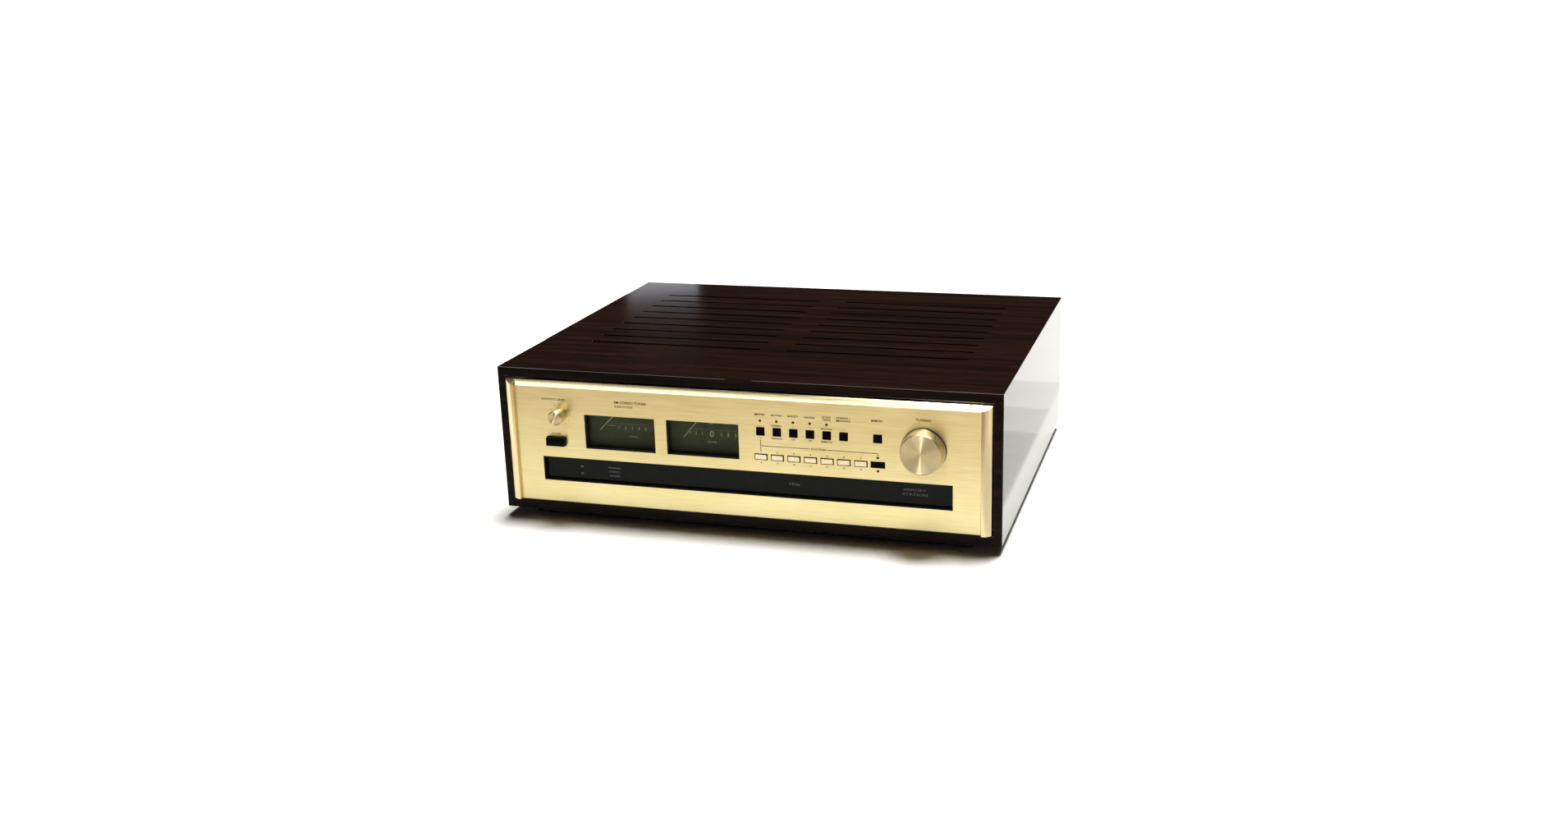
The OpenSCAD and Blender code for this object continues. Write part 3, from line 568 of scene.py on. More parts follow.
cabinetSet = {
    "slots": 9, "firstSlot": 104, "slotPitch": 25.8, "slotWidth": 4, "slotInner": 12.5,
    "slotLength": 172, "edge": 0.55, "rim": 0.15, "mitre": 8, "border": 20, "longEdge": 30,
    "boardEdge": 60, "near": 1}


def makeCabinetTop():
    s = cabinetSet
    low, high = boxOf("cabinet_top")
    holes = []
    for i in range(s["slots"]):
        y = low.y + s["firstSlot"] + i * s["slotPitch"]
        for side in (-1, 1):
            ends = sorted((side * s["slotInner"], side * (s["slotInner"] + s["slotLength"])))
            holes.append((*ends, y - s["slotWidth"] / 2, y + s["slotWidth"] / 2, s["slotWidth"] / 2 - 0.02))
    shape = piercedPlate((low.x, high.x, low.y, high.y), holes, high.z - low.z)
    near = s["near"]
    for v in shape.verts:
        if v.co.z < -near and abs(v.co.x) > high.x - near:
            v.co.x -= math.copysign(s["mitre"], v.co.x)
    shift(shape, (0, 0, high.z))
    side = high.x - s["mitre"] - near
    outer = [e for e in shape.edges if e.calc_length() > s["longEdge"] and
             all(abs(v.co.x) > side or not low.y + near < v.co.y < high.y - near for v in e.verts)]
    softenEdges(shape, s["edge"], edges=outer)
    rims = [e for e in shape.edges if all(abs(v.co.x) < high.x - s["border"] for v in e.verts)]
    softenEdges(shape, s["rim"], 1, edges=rims)
    for face in shape.faces:  # the boards' ends and the slots' walls are satin
        face.material_index = int(abs(face.normal.z) < 0.3)
    finishPiece("cabinetTop", shape, "rosewoodAcross", ["cabinet_top"],
                others=("rosewoodEdge",))


def makeCabinetBoards():
    for node, name, finish in (("cabinet_side_left", "cabinetSideLeft", "rosewoodUp"),
                               ("cabinet_side_right", "cabinetSideRight", "rosewoodUp"),
                               ("cabinet_base", "cabinetBase", "rosewoodAcross")):
        shape = copyOf(node)
        long = [e for e in shape.edges if e.calc_length() > cabinetSet["boardEdge"]]
        softenEdges(shape, cabinetSet["edge"], edges=long)
        for face in shape.faces:
            face.material_index = int(abs(face.normal.y) > 0.9)
        finishPiece(name, shape, finish, [node], others=("rosewoodEdge",))


runnerSet = {
    "edge": 0.8, "padX": 194, "padInset": 12, "padHeight": 2,
    "padProfile": [(0, 0), (9.7, 0), (10, 0.4), (9.75, 1.65), (9.3, 2), (6, 2), (5.2, 1.3), (0, 1.3)]}


def makeRunners():
    s = runnerSet
    shape = copyOf("runners")
    softenEdges(shape, s["edge"])
    finishPiece("runnerBars", shape, "stainedBeech", ["runners"])
    low, high = boxOf("runners")
    pads = bmesh.new()
    for x in (-s["padX"], s["padX"]):
        for y in (low.y + s["padInset"], high.y - s["padInset"]):
            part = bmesh.new()
            # drawn upside down: a ring that stands on the table round the hollow of its screw
            addTurned(part, 0, 0, 0, s["padProfile"], 48)
            turn(part, 90, "X")
            shift(part, (x, y, s["padHeight"]))
            joinPart(pads, part)
    finishPiece("runnerPads", pads, "mouldedRubber", ["runner_pads"])


# fascia

fasciaSet = {
    "bevelTall": 5.5, "bevelDeep": 2.5, "footChamfer": 0.8, "edge": 0.18, "keyGap": 0.35,
    "keyX": 20.3, "keyPitch": 15.06, "squareColumns": (0, 1, 2, 3, 4, 5, 7), "squareZ": 99.2,
    "squareSize": (7, 7), "presetZ": 75.7, "presetSize": (10.3, 4.2), "bankSize": (11.2, 4.2),
    "frameOuter": 0.86, "frameInner": 0.1, "frameThick": 0.15, "frameProud": 0.06,
    "lampRadius": 1.0, "lampZ": 109, "bankLampZ": (82, 70),
    "meterX": (-113.3, -34), "meterZ": 88, "meterSize": (68, 32),
    "dialZ": 50.4, "dialSize": (382, 22.8),
    **knobPlaces, "power": (-176.2, 77.2), "powerSize": (18, 8),
    # round holes and the power key's hole: width, height, gap and the corners' radius
    "tuningHole": (9.6, 9.6, 0, 4.75), "levelHole": (7.6, 7.6, 0, 3.75), "lampHole": (2.2, 2.2, 0, 1.09),
    "powerHole": (18, 8, 0.4, 0.9), "trimEdge": 0.25,
    "plainEnds": 1, "plainFoot": 2, "plainTop": 7}  # the border that holds no holes


def columnX(i):
    return fasciaSet["keyX"] + i * fasciaSet["keyPitch"]


def around(x, z, w, h, gap=0.0, radius=0.0):
    return (x - w / 2 - gap, x + w / 2 + gap, z - h / 2 - gap, z + h / 2 + gap, radius)


def lampPlaces():
    s = fasciaSet
    return [(columnX(i), s["lampZ"]) for i in range(5)] + [(columnX(7), z) for z in s["bankLampZ"]]


def makeFascia():
    s = fasciaSet
    low, high = boxOf("fascia")
    gap = s["keyGap"]
    holes = [around(0, s["dialZ"], *s["dialSize"])]
    holes += [around(x, s["meterZ"], *s["meterSize"]) for x in s["meterX"]]
    holes += [around(columnX(i), s["squareZ"], *s["squareSize"], gap) for i in s["squareColumns"]]
    holes += [around(columnX(i), s["presetZ"], *s["presetSize"], gap) for i in range(7)]
    holes += [around(columnX(7), s["presetZ"], *s["bankSize"], gap)]
    holes += [around(*place, *s["lampHole"]) for place in lampPlaces()]
    holes += [around(*s[control], *s[control + "Hole"]) for control in ("power", "tuning", "level")]
    shape = piercedPlate((low.x, high.x, low.z, high.z), holes, high.y - low.y,
                         [(1, high.z - s["bevelTall"]), (1, low.z + s["footChamfer"])])
    for v in shape.verts:
        if v.co.z > -0.01 and v.co.y > high.z - 0.01:
            v.co.z = -s["bevelDeep"]
        elif v.co.z > -0.01 and v.co.y < low.z + 0.01:
            v.co.z = -s["footChamfer"]
    standUp(shape, low.y)
    softenEdges(shape, s["edge"])
    for face in shape.faces:  # the holes' walls are blackened: painted shade inside the holes
        place = face.calc_center_median()
        inner = (abs(place.x) < high.x - s["plainEnds"]
                 and low.z + s["plainFoot"] < place.z < high.z - s["plainTop"])
        if inner and abs(face.normal.y) < 0.3:
            face.material_index = 1
        elif place.z > high.z - s["bevelTall"] and face.normal.z > 0.2:
            face.material_index = 2
    finishPiece("fasciaPlate", shape, "brushedGold", ["fascia"],
                others=("blackMouldingAndShade", "polishedBevel"))


linerSet = {"wall": 0.6, "clearance": 0.02, "setBack": 0.6, "edge": 0.12}


def makeLiners():  # black card round the insides of the three windows
    s = fasciaSet
    wall, setBack = linerSet["wall"], linerSet["setBack"]
    low, high = boxOf("fascia")
    shape = bmesh.new()
    windows = [(0, s["dialZ"], *s["dialSize"])] + [(x, s["meterZ"], *s["meterSize"]) for x in s["meterX"]]
    for x, z, w, h in windows:
        inner = around(x, z, w, h, -wall)
        part = piercedPlate(around(x, z, w, h, -linerSet["clearance"])[:4], [inner], high.y - low.y - setBack)
        standUp(part, low.y + setBack)
        softenEdges(part, linerSet["edge"])
        joinPart(shape, part)
    finishPiece("windowLiners", shape, "blackMouldingAndShade")


def makeKeyShadeFrames():  # thin black frames round the preset keys: painted shade for the dark gaps round them
    s = fasciaSet
    face = boxOf("fascia")[0].y
    shape = bmesh.new()
    for i in range(8):
        size = s["bankSize"] if i == 7 else s["presetSize"]
        part = piercedPlate(around(columnX(i), s["presetZ"], *size, s["frameOuter"])[:4],
                            [around(columnX(i), s["presetZ"], *size, s["frameInner"])], s["frameThick"])
        standUp(part, face - s["frameProud"])
        joinPart(shape, part)
    finishPiece("keyShadeFrames", shape, "gapShadeBrown")


def makeTrims():
    for node, name in (("end_trim_left", "endTrimLeft"), ("end_trim_right", "endTrimRight")):
        shape = copyOf(node)
        softenEdges(shape, fasciaSet["trimEdge"])
        finishPiece(name, shape, "satinGoldTrim", [node])


# keys, lamps and knobs

keySet = {
    "proud": 1.0, "body": 6, "stem": 12.2, "stemSide": 3, "stemOverlap": 0.3, "rim": 0.55, "dish": 0.16,
    "dishEdge": 0.15, "edge": 0.28}


def makeKey(node, name, column, z, size, finish, body):
    s = keySet
    x = columnX(column)
    w, h = size
    face = boxOf(node)[0].y
    fascia = face + s["proud"]
    shape = bmesh.new()
    addBlock(shape, (x - w / 2, face, z - h / 2), (x + w / 2, fascia + s["body"], z + h / 2))
    softenEdges(shape, s["edge"])
    front = min(shape.faces, key=lambda f: f.calc_center_median().y)
    bmesh.ops.inset_region(shape, faces=[front], thickness=s["rim"], depth=0)
    bmesh.ops.inset_region(shape, faces=[front], thickness=s["dishEdge"], depth=-s["dish"])
    half = s["stemSide"] / 2
    addBlock(shape, (x - half, fascia + s["body"] - s["stemOverlap"], z - half),
             (x + half, fascia + s["stem"], z + half))
    finishPiece(name, shape, finish, [node], body)


def makeKeys():
    s = fasciaSet
    square, preset = s["squareSize"], s["presetSize"]
    for i in range(6):
        makeKey(f"mode_button_{i + 1}", f"modeKey{i + 1}", i, s["squareZ"], square, "blackKeyCap",
                f"mode_{i + 1}")
    makeKey("memory_button", "memoryKey", 7, s["squareZ"], square, "blackKeyCap", "memory")
    for i in range(7):
        makeKey(f"preset_button_{i + 1}", f"presetKey{i + 1}", i, s["presetZ"], preset, "goldKeyCap",
                f"preset_{i + 1}")
    makeKey("bank_button", "bankKey", 7, s["presetZ"], s["bankSize"], "blackKeyCap", "bank")


powerSet = {"capDepth": 12, "edge": 0.7, "segments": 3}


def makePowerButton():
    s = powerSet
    shape = copyOf("power_button")
    capEnd = boxOf("power_button")[0].y + s["capDepth"]
    edges = [e for e in shape.edges if all(v.co.y < capEnd for v in e.verts)]
    softenEdges(shape, s["edge"], s["segments"], edges=edges)
    finishPiece("powerButton", shape, "blackKeyCap", ["power_button"], "power", 32)


lampTip = ((1, 0.5), (0.9, 0.25), (0.62, 0.06), (0, 0))  # share of the radius, and distance back from the tip


def makeLamps():
    low, high = boxOf("indicator_lamps")
    shape = bmesh.new()
    r = fasciaSet["lampRadius"]
    length = high.y - low.y
    for x, z in lampPlaces():
        profile = [(0, 0), (r, 0)] + [(r * share, length - back) for share, back in lampTip]
        addTurned(shape, x, high.y, z, profile, 24)
    finishPiece("indicatorLamps", shape, "redLens", ["indicator_lamps"], smoothBelow=40)


knobSet = {
    "tuningBase": 0.6, "levelBase": 0.5,
    "tuningProfile": [(0, 10.6), (3.05, 10.6), (3.05, 0), (19.2, 0), (19.8, 0.6), (19.8, 1.8),
                      (19.6, 2.15), (18.9, 2.4), (18.0, 11.6), (17.85, 12.0), (17.15, 12.9),
                      (16.95, 13.0), (16.5, 13.0), (16.3, 12.85), (0, 12.85)],
    "levelProfile": [(0, 8.7), (2.05, 8.7), (2.05, 0), (6.5, 0), (6.8, 0.3), (6.8, 10.55), (6.7, 10.8),
                     (5.8, 11.85), (5.55, 11.9), (5.3, 11.8), (0, 11.8)],
    "footShadeFrom": 19.3, "footShadeTo": 2.0,
    "indexAngle": 51, "indexRadius": 18.4, "indexOut": 8.0, "indexSize": 0.75,
    "lineWidth": 0.6, "lineFrom": 2.2, "lineTo": 5.0, "lineFront": 11.83, "lineDeep": 0.2}


def makeKnob(which, smoothSides, finish):
    s = knobSet
    x, z = knobPlaces[which]
    foot = frontY / mm - s[which + "Base"]
    shape = bmesh.new()
    addTurned(shape, x, foot, z, s[which + "Profile"], smoothSides)
    for face in shape.faces:  # the face is turned, the side is satin, and the foot's rim is dark: painted shade where the knob meets the fascia
        place = face.calc_center_median()
        forward = foot - place.y
        if math.hypot(place.x - x, place.z - z) > s["footShadeFrom"] and forward < s["footShadeTo"]:
            face.material_index = 2
        elif abs(face.normal.y) < 0.9:
            face.material_index = 1
    finishPiece(which + "Knob", shape, finish, [which + "_knob"], which, 12,
                ("turnedKnobSide", "gapShadeBrown"))


def makeKnobIndexes():  # one dot on the tuning knob's taper, and one line on the level knob's face
    s = knobSet
    face = frontY / mm
    shape = bmesh.new()
    angle = math.radians(s["indexAngle"])
    x, z = knobPlaces["tuning"]
    dot = bmesh.ops.create_uvsphere(shape, u_segments=16, v_segments=8, radius=s["indexSize"])["verts"]
    shift(shape, (x + s["indexRadius"] * math.cos(angle), face - s["indexOut"],
                  z + s["indexRadius"] * math.sin(angle)), dot)
    finishPiece("tuningIndex", shape, "brownInk", body="tuning", smoothBelow=60)
    shape = bmesh.new()
    x, z = knobPlaces["level"]
    front = face - s["levelBase"] - s["lineFront"]
    half = s["lineWidth"] / 2
    addBlock(shape, (x - half, front, z + s["lineFrom"]), (x + half, front + s["lineDeep"], z + s["lineTo"]))
    finishPiece("levelIndex", shape, "brownInk", body="level")


# windows and meters

meterSet = {
    "paneEdge": 0.15, "pivotZ": 111, "needleLength": 33, "needleRest": (45, 40.5),
    "digits": (((-119, "1", 2.6), (-112.5, "2", 2.6), (-106, "3", 2.6), (-99.5, "4", 2.6),
                (-93, "5", 2.6), (-82, "6", 2.0)),
               ((-50, "3", 2.6), (-44.5, "2", 3.0), (-38.5, "1", 3.0), (-29.5, "0", 5.6),
                (-20.5, "1", 3.2), (-14, "2", 3.2), (-7, "3", 3.0), (-1.5, "4", 2.4))),
    "digitZ": (90.0, 89.6), "ticks": ((-122, 1.55, 20), (-51, 1.55, 32)),
    "tickRise": 3.2, "tickWidth": 0.24, "tickLong": 1.6, "tickShort": 0.9,
    "bars": ((-126.6, 91.4, 8, 0.5), (-30, 99.2, 4, 0.6)),
    "words": (("SIGNAL", -105, 82, 1.3, 9), ("CENTER", -29.5, 82, 1.5, 9)),
    "hub": [(0.65, 0), (2.2, 0), (2.2, 1.7), (1.9, 2), (0.65, 2), (0.65, 0)], "hubFront": 2,
    "bladeHalf": 0.45, "bladeDepth": (0.6, 1.2), "bladeTop": -1.5, "taperFrom": -5, "taper": 0.55,
    "tailLow": (-0.9, 0.4, 1.5), "tailHigh": (0.9, 1.4, 5.5), "tailEdge": 0.25}


def makePanes():
    for node, name, finish, slotName in (("dial_window", "dialPane", "smokedDial", "dark_acrylic"),
                                         ("meter_windows", "meterPanes", "meterPane", "smoked_glass")):
        shape = copyOf(node)
        softenEdges(shape, meterSet["paneEdge"])
        finishPiece(name, shape, finish, [node])


def makeMeterScales():
    s = meterSet
    shape = copyOf("meter_scales")
    finishPiece("meterScales", shape, "scaleLacquer", ["meter_scales"])
    face = boxOf("meter_scales")[0].y
    ink = bmesh.new()
    for digits, z, (firstX, pitch, count) in zip(s["digits"], s["digitZ"], s["ticks"]):
        for x, word, tall in digits:
            addWords(ink, word, x, z, face, tall)
        for step in range(count):
            long = s["tickShort"] if step % 4 else s["tickLong"]
            addBar(ink, firstX + step * pitch, z + s["tickRise"] + long / 2, s["tickWidth"], long, face)
    for x, z, w, h in s["bars"]:
        addBar(ink, x, z, w, h, face)
    for words, x, z, tall, width in s["words"]:
        addWords(ink, words, x, z, face, tall, width)
    finishPiece("meterMarks", ink, "whiteInk")


def makeNeedles():
    s = meterSet
    for side, x, rest in zip(("left", "right"), fasciaSet["meterX"], s["needleRest"]):
        y = boxOf(f"meter_needle_{side}")[0].y
        shape = bmesh.new()
        addTurned(shape, 0, s["hubFront"], 0, s["hub"], 40)
        half = s["bladeHalf"]
        near, far = s["bladeDepth"]
        for v in addBlock(shape, (-half, near, -s["needleLength"]), (half, far, s["bladeTop"])):
            if v.co.z < s["taperFrom"]:
                v.co.x *= s["taper"]
        tail = addBlock(shape, s["tailLow"], s["tailHigh"])
        bevelEdges(shape, [e for e in shape.edges if all(v in tail for v in e.verts)], s["tailEdge"])
        turn(shape, rest, "Y")
        shift(shape, (x, y, s["pivotZ"]))
        finishPiece(f"{side}Needle", shape, "needlePaint", [f"meter_needle_{side}"],
                    f"needle_{side}")


dialSet = {
    "marks": ((-155, 52.6, 3, 1.8), (-155, 46, 3, 1.8), (-122.8, 53.2, 12, 1.1),
              (-122.8, 45.4, 10, 1.3)),
    "words": ((49, 50.6, 2.6, 10, "MHz"), (-122.8, 49.4, 1.6, 11, "STEREO"),
              (157, 53.4, 2.2, 20, "MEMORY"), (157, 49.4, 2.2, 22, "STATION"))}


def makeDialMarks():
    face = boxOf("dial_window")[0].y
    shape = bmesh.new()
    for x, z, w, h in dialSet["marks"]:
        addBar(shape, x, z, w, h, face)
    for x, z, tall, width, words in dialSet["words"]:
        addWords(shape, words, x, z, face, tall, width)
    finishPiece("dialMarks", shape, "greyInk")


# printed legends

legendSet = {
    "ink": 0.02, "line": 0.25,
    "words": ((-176.5, 116.9, 1.7, 24, "OUTPUT LEVEL"), (-176, 84.4, 1.4, 9, "POWER"),
              (-101.5, 117.4, 2.1, 31, "FM STEREO TUNER"), (-108, 113.4, 1.8, 18, "QUARTZ LOCK"),
              (165.5, 118.3, 2.2, 13, "TUNING"), (125.7, 115.2, 1.9, 10.5, "MEMORY"),
              (73, 86, 1.7, 13.5, "STATION")),
    # over each mode key: its rows of words and their width
    "modes": ((("METER",), 9.5), (("MUTING",), 9.5), (("BANDWIDTH",), 9.5), (("NOISE",), 9.5),
              (("SCAN", "TUNING"), 7.5), (("STEREO /", "MONO"), 12.5)),
    "modeZ": 114.6, "rowRise": 1.1, "rowPitch": 2.4, "modeTall": 1.7,
    # by column: the words between lamps and keys, and those under the keys, with their width
    "nearKeys": ((105.2, {1: ("NORMAL", 10), 4: ("MANUAL", 10)}),
                 (93.4, {0: ("-", 3.2), 1: ("NARROW", 10), 2: ("ON", 3.2), 3: ("ON", 3.2),
                         4: ("REMOTE", 10)}),
                 (105.2, {2: ("-", 2), 3: ("-", 2), 5: ("-", 2)})), "nearTall": 1.4,
    "presetDigits": ((1, 80.6, 1.7), (8, 70.6, 1.6)),
    # the line that ties the preset keys together: its height, its gap for the word, its two ends
    "lineZ": 86, "gap": (65, 81), "leftEnd": (81.4, 92), "rightEnd": 83.6,
    "levelTicks": 11, "tickFrom": 8.9, "tickTo": 10.2, "tickHalf": 0.16, "tickStep": 30, "firstTick": -150}


def makeLegends():
    s = legendSet
    face = frontY / mm
    shape = bmesh.new()
    for x, z, tall, width, words in s["words"]:
        addWords(shape, words, x, z, face, tall, width)
    for i, (rows, width) in enumerate(s["modes"]):
        top = s["modeZ"] + (s["rowRise"] if len(rows) == 2 else 0)
        for row, words in enumerate(rows):
            addWords(shape, words, columnX(i), top - s["rowPitch"] * row, face, s["modeTall"], width)
    for z, columns in s["nearKeys"]:
        for i, (words, width) in columns.items():
            addWords(shape, words, columnX(i), z, face, s["nearTall"], width)
    for i in range(7):
        for first, z, tall in s["presetDigits"]:
            addWords(shape, str(first + i), columnX(i), z, face, tall)
    line, z, (gap0, gap1), (low, high) = s["line"], s["lineZ"], s["gap"], s["leftEnd"]
    front = face - s["ink"]
    left, right = columnX(0), columnX(7)
    for x0, x1, z0, z1 in ((left, gap0, z - line, z + line), (gap1, right, z - line, z + line),
                           (left - line, left + line, low, high),
                           (right - line, right + line, s["rightEnd"], z)):
        addBlock(shape, (x0, front, z0), (x1, face + inkDepth, z1))
    x, z = fasciaSet["level"]
    half = s["tickHalf"]
    for step in range(s["levelTicks"]):
        tick = addBlock(shape, (-half, front, s["tickFrom"]), (half, face + inkDepth, s["tickTo"]))
        turn(shape, s["firstTick"] + s["tickStep"] * step, "Y", tick)
        shift(shape, (x, 0, z), tick)
    finishPiece("printedLegends", shape, "brownInk")


# back

rearSet = {
    "antenna": (152, 92, 70, 30), "jacks": (51, 62, 40, 38), "inlet": (-172, 46, 27.4, 20.2),
    "post": (196, 62, 4.2, 4.2), "postRadius": 2.05, "thick": 1.2, "edge": 0.2,
    "ventX": -120, "ventZ": 84, "vents": 12, "ventPitch": 8, "ventSize": (3.5, 34, 0, 1.7),
    "lipZ": (18.2, 19.4), "lipInset": 1.7, "lipGap": 1.3,
    "screwX": (-214, -60, 88, 214), "screwZ": (25, 126), "screwHead": 3.4,
    "boardScrewX": (116, 188), "boardScrewZ": 92, "boardScrewHead": 2.4,
    "plateScrewX": (26.5, 75.5), "plateScrewZ": (40.5, 83.5), "plateScrewHead": 2.0, "plateThick": 2,
    # words, x, z, height, width and how far they stand off the panel
    "words": (("OUTPUT", 51, 92, 2.6, 20, 0), ("L", 29.5, 72, 2.6, None, 2), ("R", 29.5, 52, 2.6, None, 2),
              ("FIXED", 62, 79.7, 1.6, 8, 2), ("VARIABLE", 40, 79.7, 1.6, 11, 2),
              ("ANTENNA", 152, 117, 2.6, 24, 0), ("75", 128, 101.5, 2.2, None, 2),
              ("300", 164, 101.5, 2.2, None, 2), ("GND", 196, 73, 2.2, None, 0),
              ("AC IN", -172, 63, 2.6, None, 0))}


def addScrew(shape, x, z, y, radius):  # a pan head with a dark cross in it, painted shade for its cross recess, on a face that looks to the back
    part = bmesh.new()
    addTurned(part, x, y, z, [(0, 0), (radius, 0), (radius, -0.5), (radius * 0.86, -1.1),
                              (radius * 0.5, -1.45), (0, -1.55)], 32)
    joinPart(shape, part)
    # the cross: dark blocks set into the head, painted shade where the recess would be
    part = bmesh.new()
    reach = radius * 0.5
    for w, h in ((reach, 0.32), (0.32, reach)):
        addBlock(part, (x - w, y + 1.2, z - h), (x + w, y + 1.57, z + h))
    joinPart(shape, part, 1)


def thread(radius, start, end, depth=0.25, pitch=0.9):  # a turned profile's ridges, from start back to end
    steps = int((start - end) / pitch)
    return [(radius - depth * (i % 2), start - i * pitch) for i in range(steps + 1)]


jackSet = {
    "x": (40, 62), "z": (52, 72), "hole": (6.8, 6.8, 0, 3.39), "plateEdge": 0.3,
    "sleeve": [(3.4, 0), (6, 0), (6, -0.5), (5.6, -1.4), (4.15, -1.4), (4.15, -9.9), (4.0, -10.3),
               (3.75, -10.4), (3.45, -10.3), (3.4, -10.1), (3.4, 0)],
    "core": [(0, 6), (3.38, 6), (3.38, -9.3), (3.1, -9.6), (1.8, -9.6), (1.6, -9.4), (1.6, 0), (0, 0)]}


def makeOutputs():
    s = jackSet
    places = [(x, z) for z in s["z"] for x in s["x"]]
    low, high = boxOf("output_plate")
    shape = piercedPlate((low.x, high.x, low.z, high.z), [around(*place, *s["hole"]) for place in places],
                         rearSet["plateThick"])
    standUp(shape, low.y)
    softenEdges(shape, s["plateEdge"])
    finishPiece("outputPlate", shape, "phenolicBoard", ["output_plate"])
    jacks = bmesh.new()
    for i, (x, z) in enumerate(places):
        part = bmesh.new()
        addTurned(part, x, high.y, z, s["sleeve"], 48)
        joinPart(jacks, part)
        part = bmesh.new()
        addTurned(part, x, high.y, z, s["core"], 40)
        joinPart(jacks, part, 1 if i < 2 else 2)  # red below, white above
    finishPiece("outputJacks", jacks, "gildedBrass", ["output_jacks"],
                others=("redNylon", "whiteNylon"))


terminalSet = {
    "halfWidth": 40, "halfHeight": 20, "thick": 2, "edge": 0.3, "hole": (8.4, 8.4, 0, 4.19),
    "socketShift": -24, "screwShift": -4, "screwPitch": 16,
    "socket": [(0, 7), (4.2, 7), (4.2, 0), (4.76, 0), (4.76, -1)], "socketThread": (4.76, -1.2, -9.6),
    "mouth": [(4.5, -10), (3.7, -10), (3.6, -9.9), (3.6, 5), (0, 5)],
    "insulator": [(0, 5), (3.58, 5), (3.58, -8.8), (3.4, -9), (0.8, -9), (0.6, -8.8), (0.6, 0), (0, 0)],
    "screw": [(0, 0), (2, 0), (2, -3), (3.9, -3), (4.2, -3.3), (4.2, -6), (3.8, -6.5), (0, -6.5)],
    "slotSize": (3.9, 0.6), "slotDepth": (6, 6.52),
    "post": [(0, 5.2), (2, 5.2), (2, 0), (2, -1.5)], "postThread": (2, -1.8, -12.6, 0.18),
    "postEnd": [(1.6, -13), (0, -13)],
    "washer": [(2.01, 0), (4.8, 0), (5, -0.2), (5, -1.3), (4.8, -1.5), (2.01, -1.5), (2.01, 0)],
    "nutEdge": 0.12}


def makeAntennaTerminals():
    s = terminalSet
    x, z = rearSet["antenna"][:2]
    panelY = boxOf("rear_panel")[1].y
    boardY = panelY + s["thick"]
    socketX = x + s["socketShift"]
    outline = (x - s["halfWidth"], x + s["halfWidth"], z - s["halfHeight"], z + s["halfHeight"])
    shape = piercedPlate(outline, [around(socketX, z, *s["hole"])], s["thick"])
    standUp(shape, panelY)
    softenEdges(shape, s["edge"])
    metalPart, insulator, slots = bmesh.new(), bmesh.new(), bmesh.new()
    addTurned(metalPart, socketX, boardY, z, s["socket"] + thread(*s["socketThread"]) + s["mouth"], 48)
    addTurned(insulator, socketX, boardY, z, s["insulator"], 40)
    (w, h), (y0, y1) = s["slotSize"], s["slotDepth"]
    for i in range(3):
        screwX = x + s["screwShift"] + i * s["screwPitch"]
        addTurned(metalPart, screwX, boardY, z, s["screw"], 40)
        # each screw's slot is a dark block set into its head: painted shade
        addBlock(slots, (screwX - w, boardY + y0, z - h), (screwX + w, boardY + y1, z + h))
    px, pz = rearSet["post"][:2]
    addTurned(metalPart, px, panelY, pz, s["post"] + thread(*s["postThread"]) + s["postEnd"], 32)
    addTurned(metalPart, px, panelY, pz, s["washer"], 40)
    for index, part in enumerate((metalPart, insulator, slots)):
        joinPart(shape, part, index + 1)
    finishPiece("antennaTerminals", shape, "phenolicBoard", ["antenna_terminals"],
                others=("nickelPlate", "whiteNylon", "blackMouldingAndShade"))
    nut = copyOf("ground_nut")
    softenEdges(nut, s["nutEdge"], 1)
    finishPiece("groundNut", nut, "gildedBrass", ["ground_nut"], "earth_nut", 30)


inletSet = {
    "edge": 0.25, "sideBlade": 7, "bladeShift": 2, "bladeWide": 1.2, "bladeTall": 2.2,
    "bladeDepth": (-12.9, -2), "rivetOut": 3.05, "rivetFrom": 15}


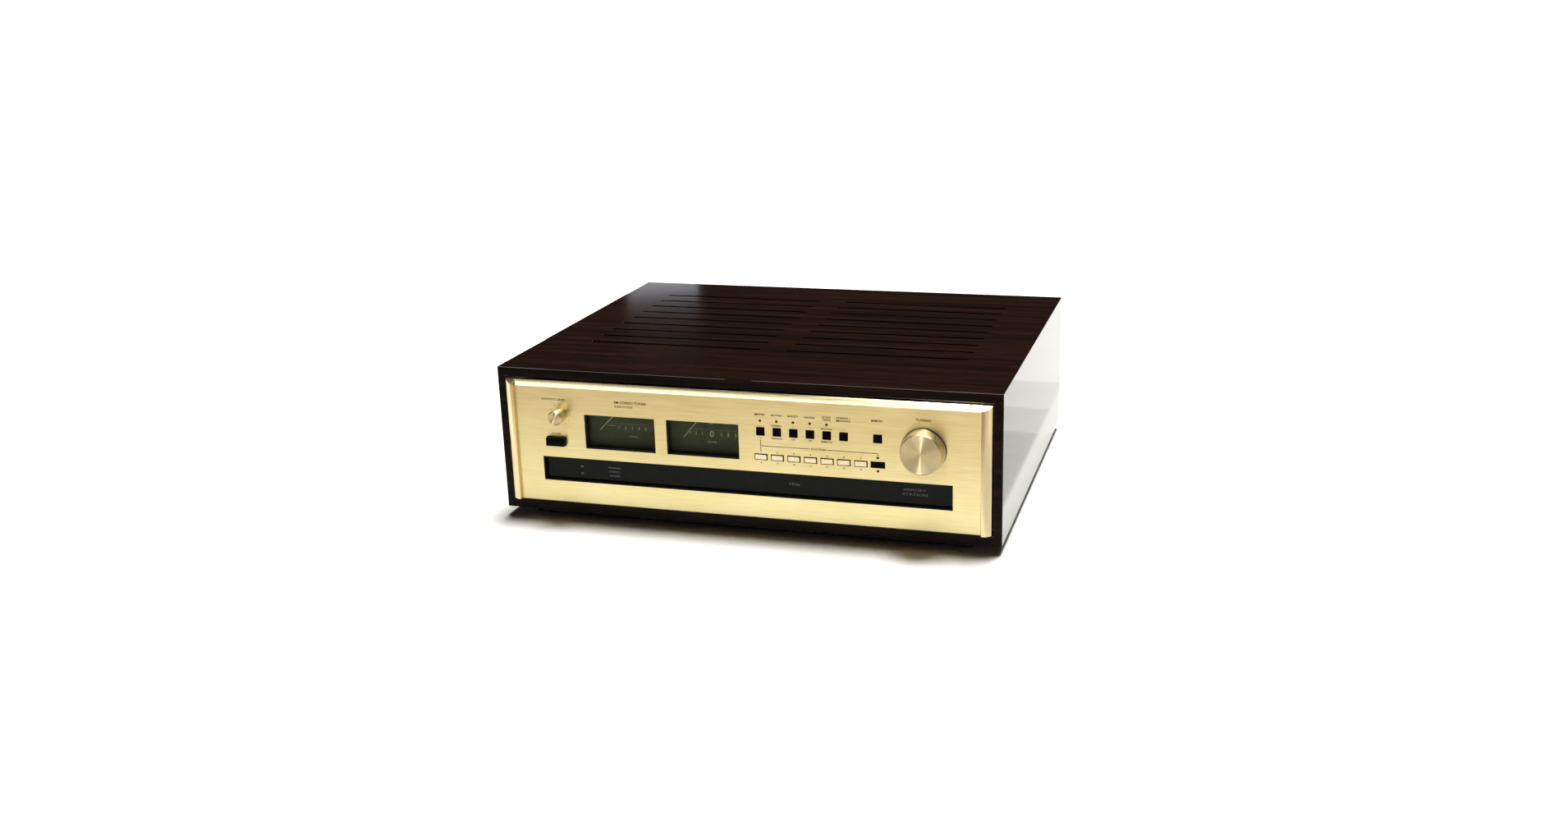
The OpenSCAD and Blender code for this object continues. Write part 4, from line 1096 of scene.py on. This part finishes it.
def makeInlet():
    s = inletSet
    shape = copyOf("ac_inlet")
    softenEdges(shape, s["edge"])
    x, z = rearSet["inlet"][:2]
    panelY = boxOf("rear_panel")[1].y
    deep, shallow = s["bladeDepth"]
    for face in shape.faces:  # the three blades and the two rivets are metal
        place = face.calc_center_median()
        dx, dz, out = abs(place.x - x), place.z - z, place.y - panelY
        lower = abs(dx - s["sideBlade"]) < s["bladeWide"] and abs(dz + s["bladeShift"]) < s["bladeTall"]
        upper = dx < s["bladeWide"] and abs(dz - s["bladeShift"]) < s["bladeTall"]
        rivet = out > s["rivetOut"] and dx > s["rivetFrom"]
        if rivet or ((lower or upper) and deep < out < shallow):
            face.material_index = 1
    finishPiece("acInlet", shape, "glossAbs", ["ac_inlet"], others=("nickelPlate",))


def makeRearPanel():
    s = rearSet
    low, high = boxOf("rear_panel")
    holes = [around(*s[name]) for name in ("antenna", "jacks", "inlet")]
    holes += [around(*s["post"], 0, s["postRadius"])]
    holes += [around(s["ventX"] + i * s["ventPitch"], s["ventZ"], *s["ventSize"]) for i in range(s["vents"])]
    shape = piercedPlate((low.x, high.x, low.z, high.z), holes, s["thick"])
    standUp(shape, high.y - s["thick"])
    softenEdges(shape, s["edge"])
    addBlock(shape, (low.x + s["lipInset"], low.y, s["lipZ"][0]),
             (high.x - s["lipInset"], high.y - s["lipGap"], s["lipZ"][1]))
    finishPiece("rearPanel", shape, "texturePaint", ["rear_panel"])
    screws = bmesh.new()
    for x in s["screwX"]:
        for z in s["screwZ"]:
            addScrew(screws, x, z, high.y, s["screwHead"])
    for x in s["boardScrewX"]:
        addScrew(screws, x, s["boardScrewZ"], high.y + s["plateThick"], s["boardScrewHead"])
    for z in s["plateScrewZ"]:
        for x in s["plateScrewX"]:
            addScrew(screws, x, z, high.y + s["plateThick"], s["plateScrewHead"])
    finishPiece("rearScrews", screws, "nickelPlate", smoothBelow=40,
                others=("blackMouldingAndShade",))
    shape = bmesh.new()
    for words, x, z, tall, width, raised in s["words"]:
        addWords(shape, words, x, z, high.y + raised, tall, width, True)
    finishPiece("rearLegends", shape, "rearInk")


makeCabinetTop()
makeCabinetBoards()
makeRunners()
print("stage: wooden cabinet")
makeFascia()
makeLiners()
makeKeyShadeFrames()
makeTrims()
print("stage: fascia and trims")
makeKeys()
makePowerButton()
makeLamps()
makeKnob("tuning", 160, "turnedTuningKnob")
makeKnob("level", 96, "turnedLevelKnob")
makeKnobIndexes()
print("stage: keys, lamps and knobs")
makePanes()
makeMeterScales()
makeNeedles()
makeDialMarks()
print("stage: windows and meters")
makeLegends()
makeRearPanel()
makeOutputs()
makeAntennaTerminals()
makeInlet()
print("stage: legends and back")
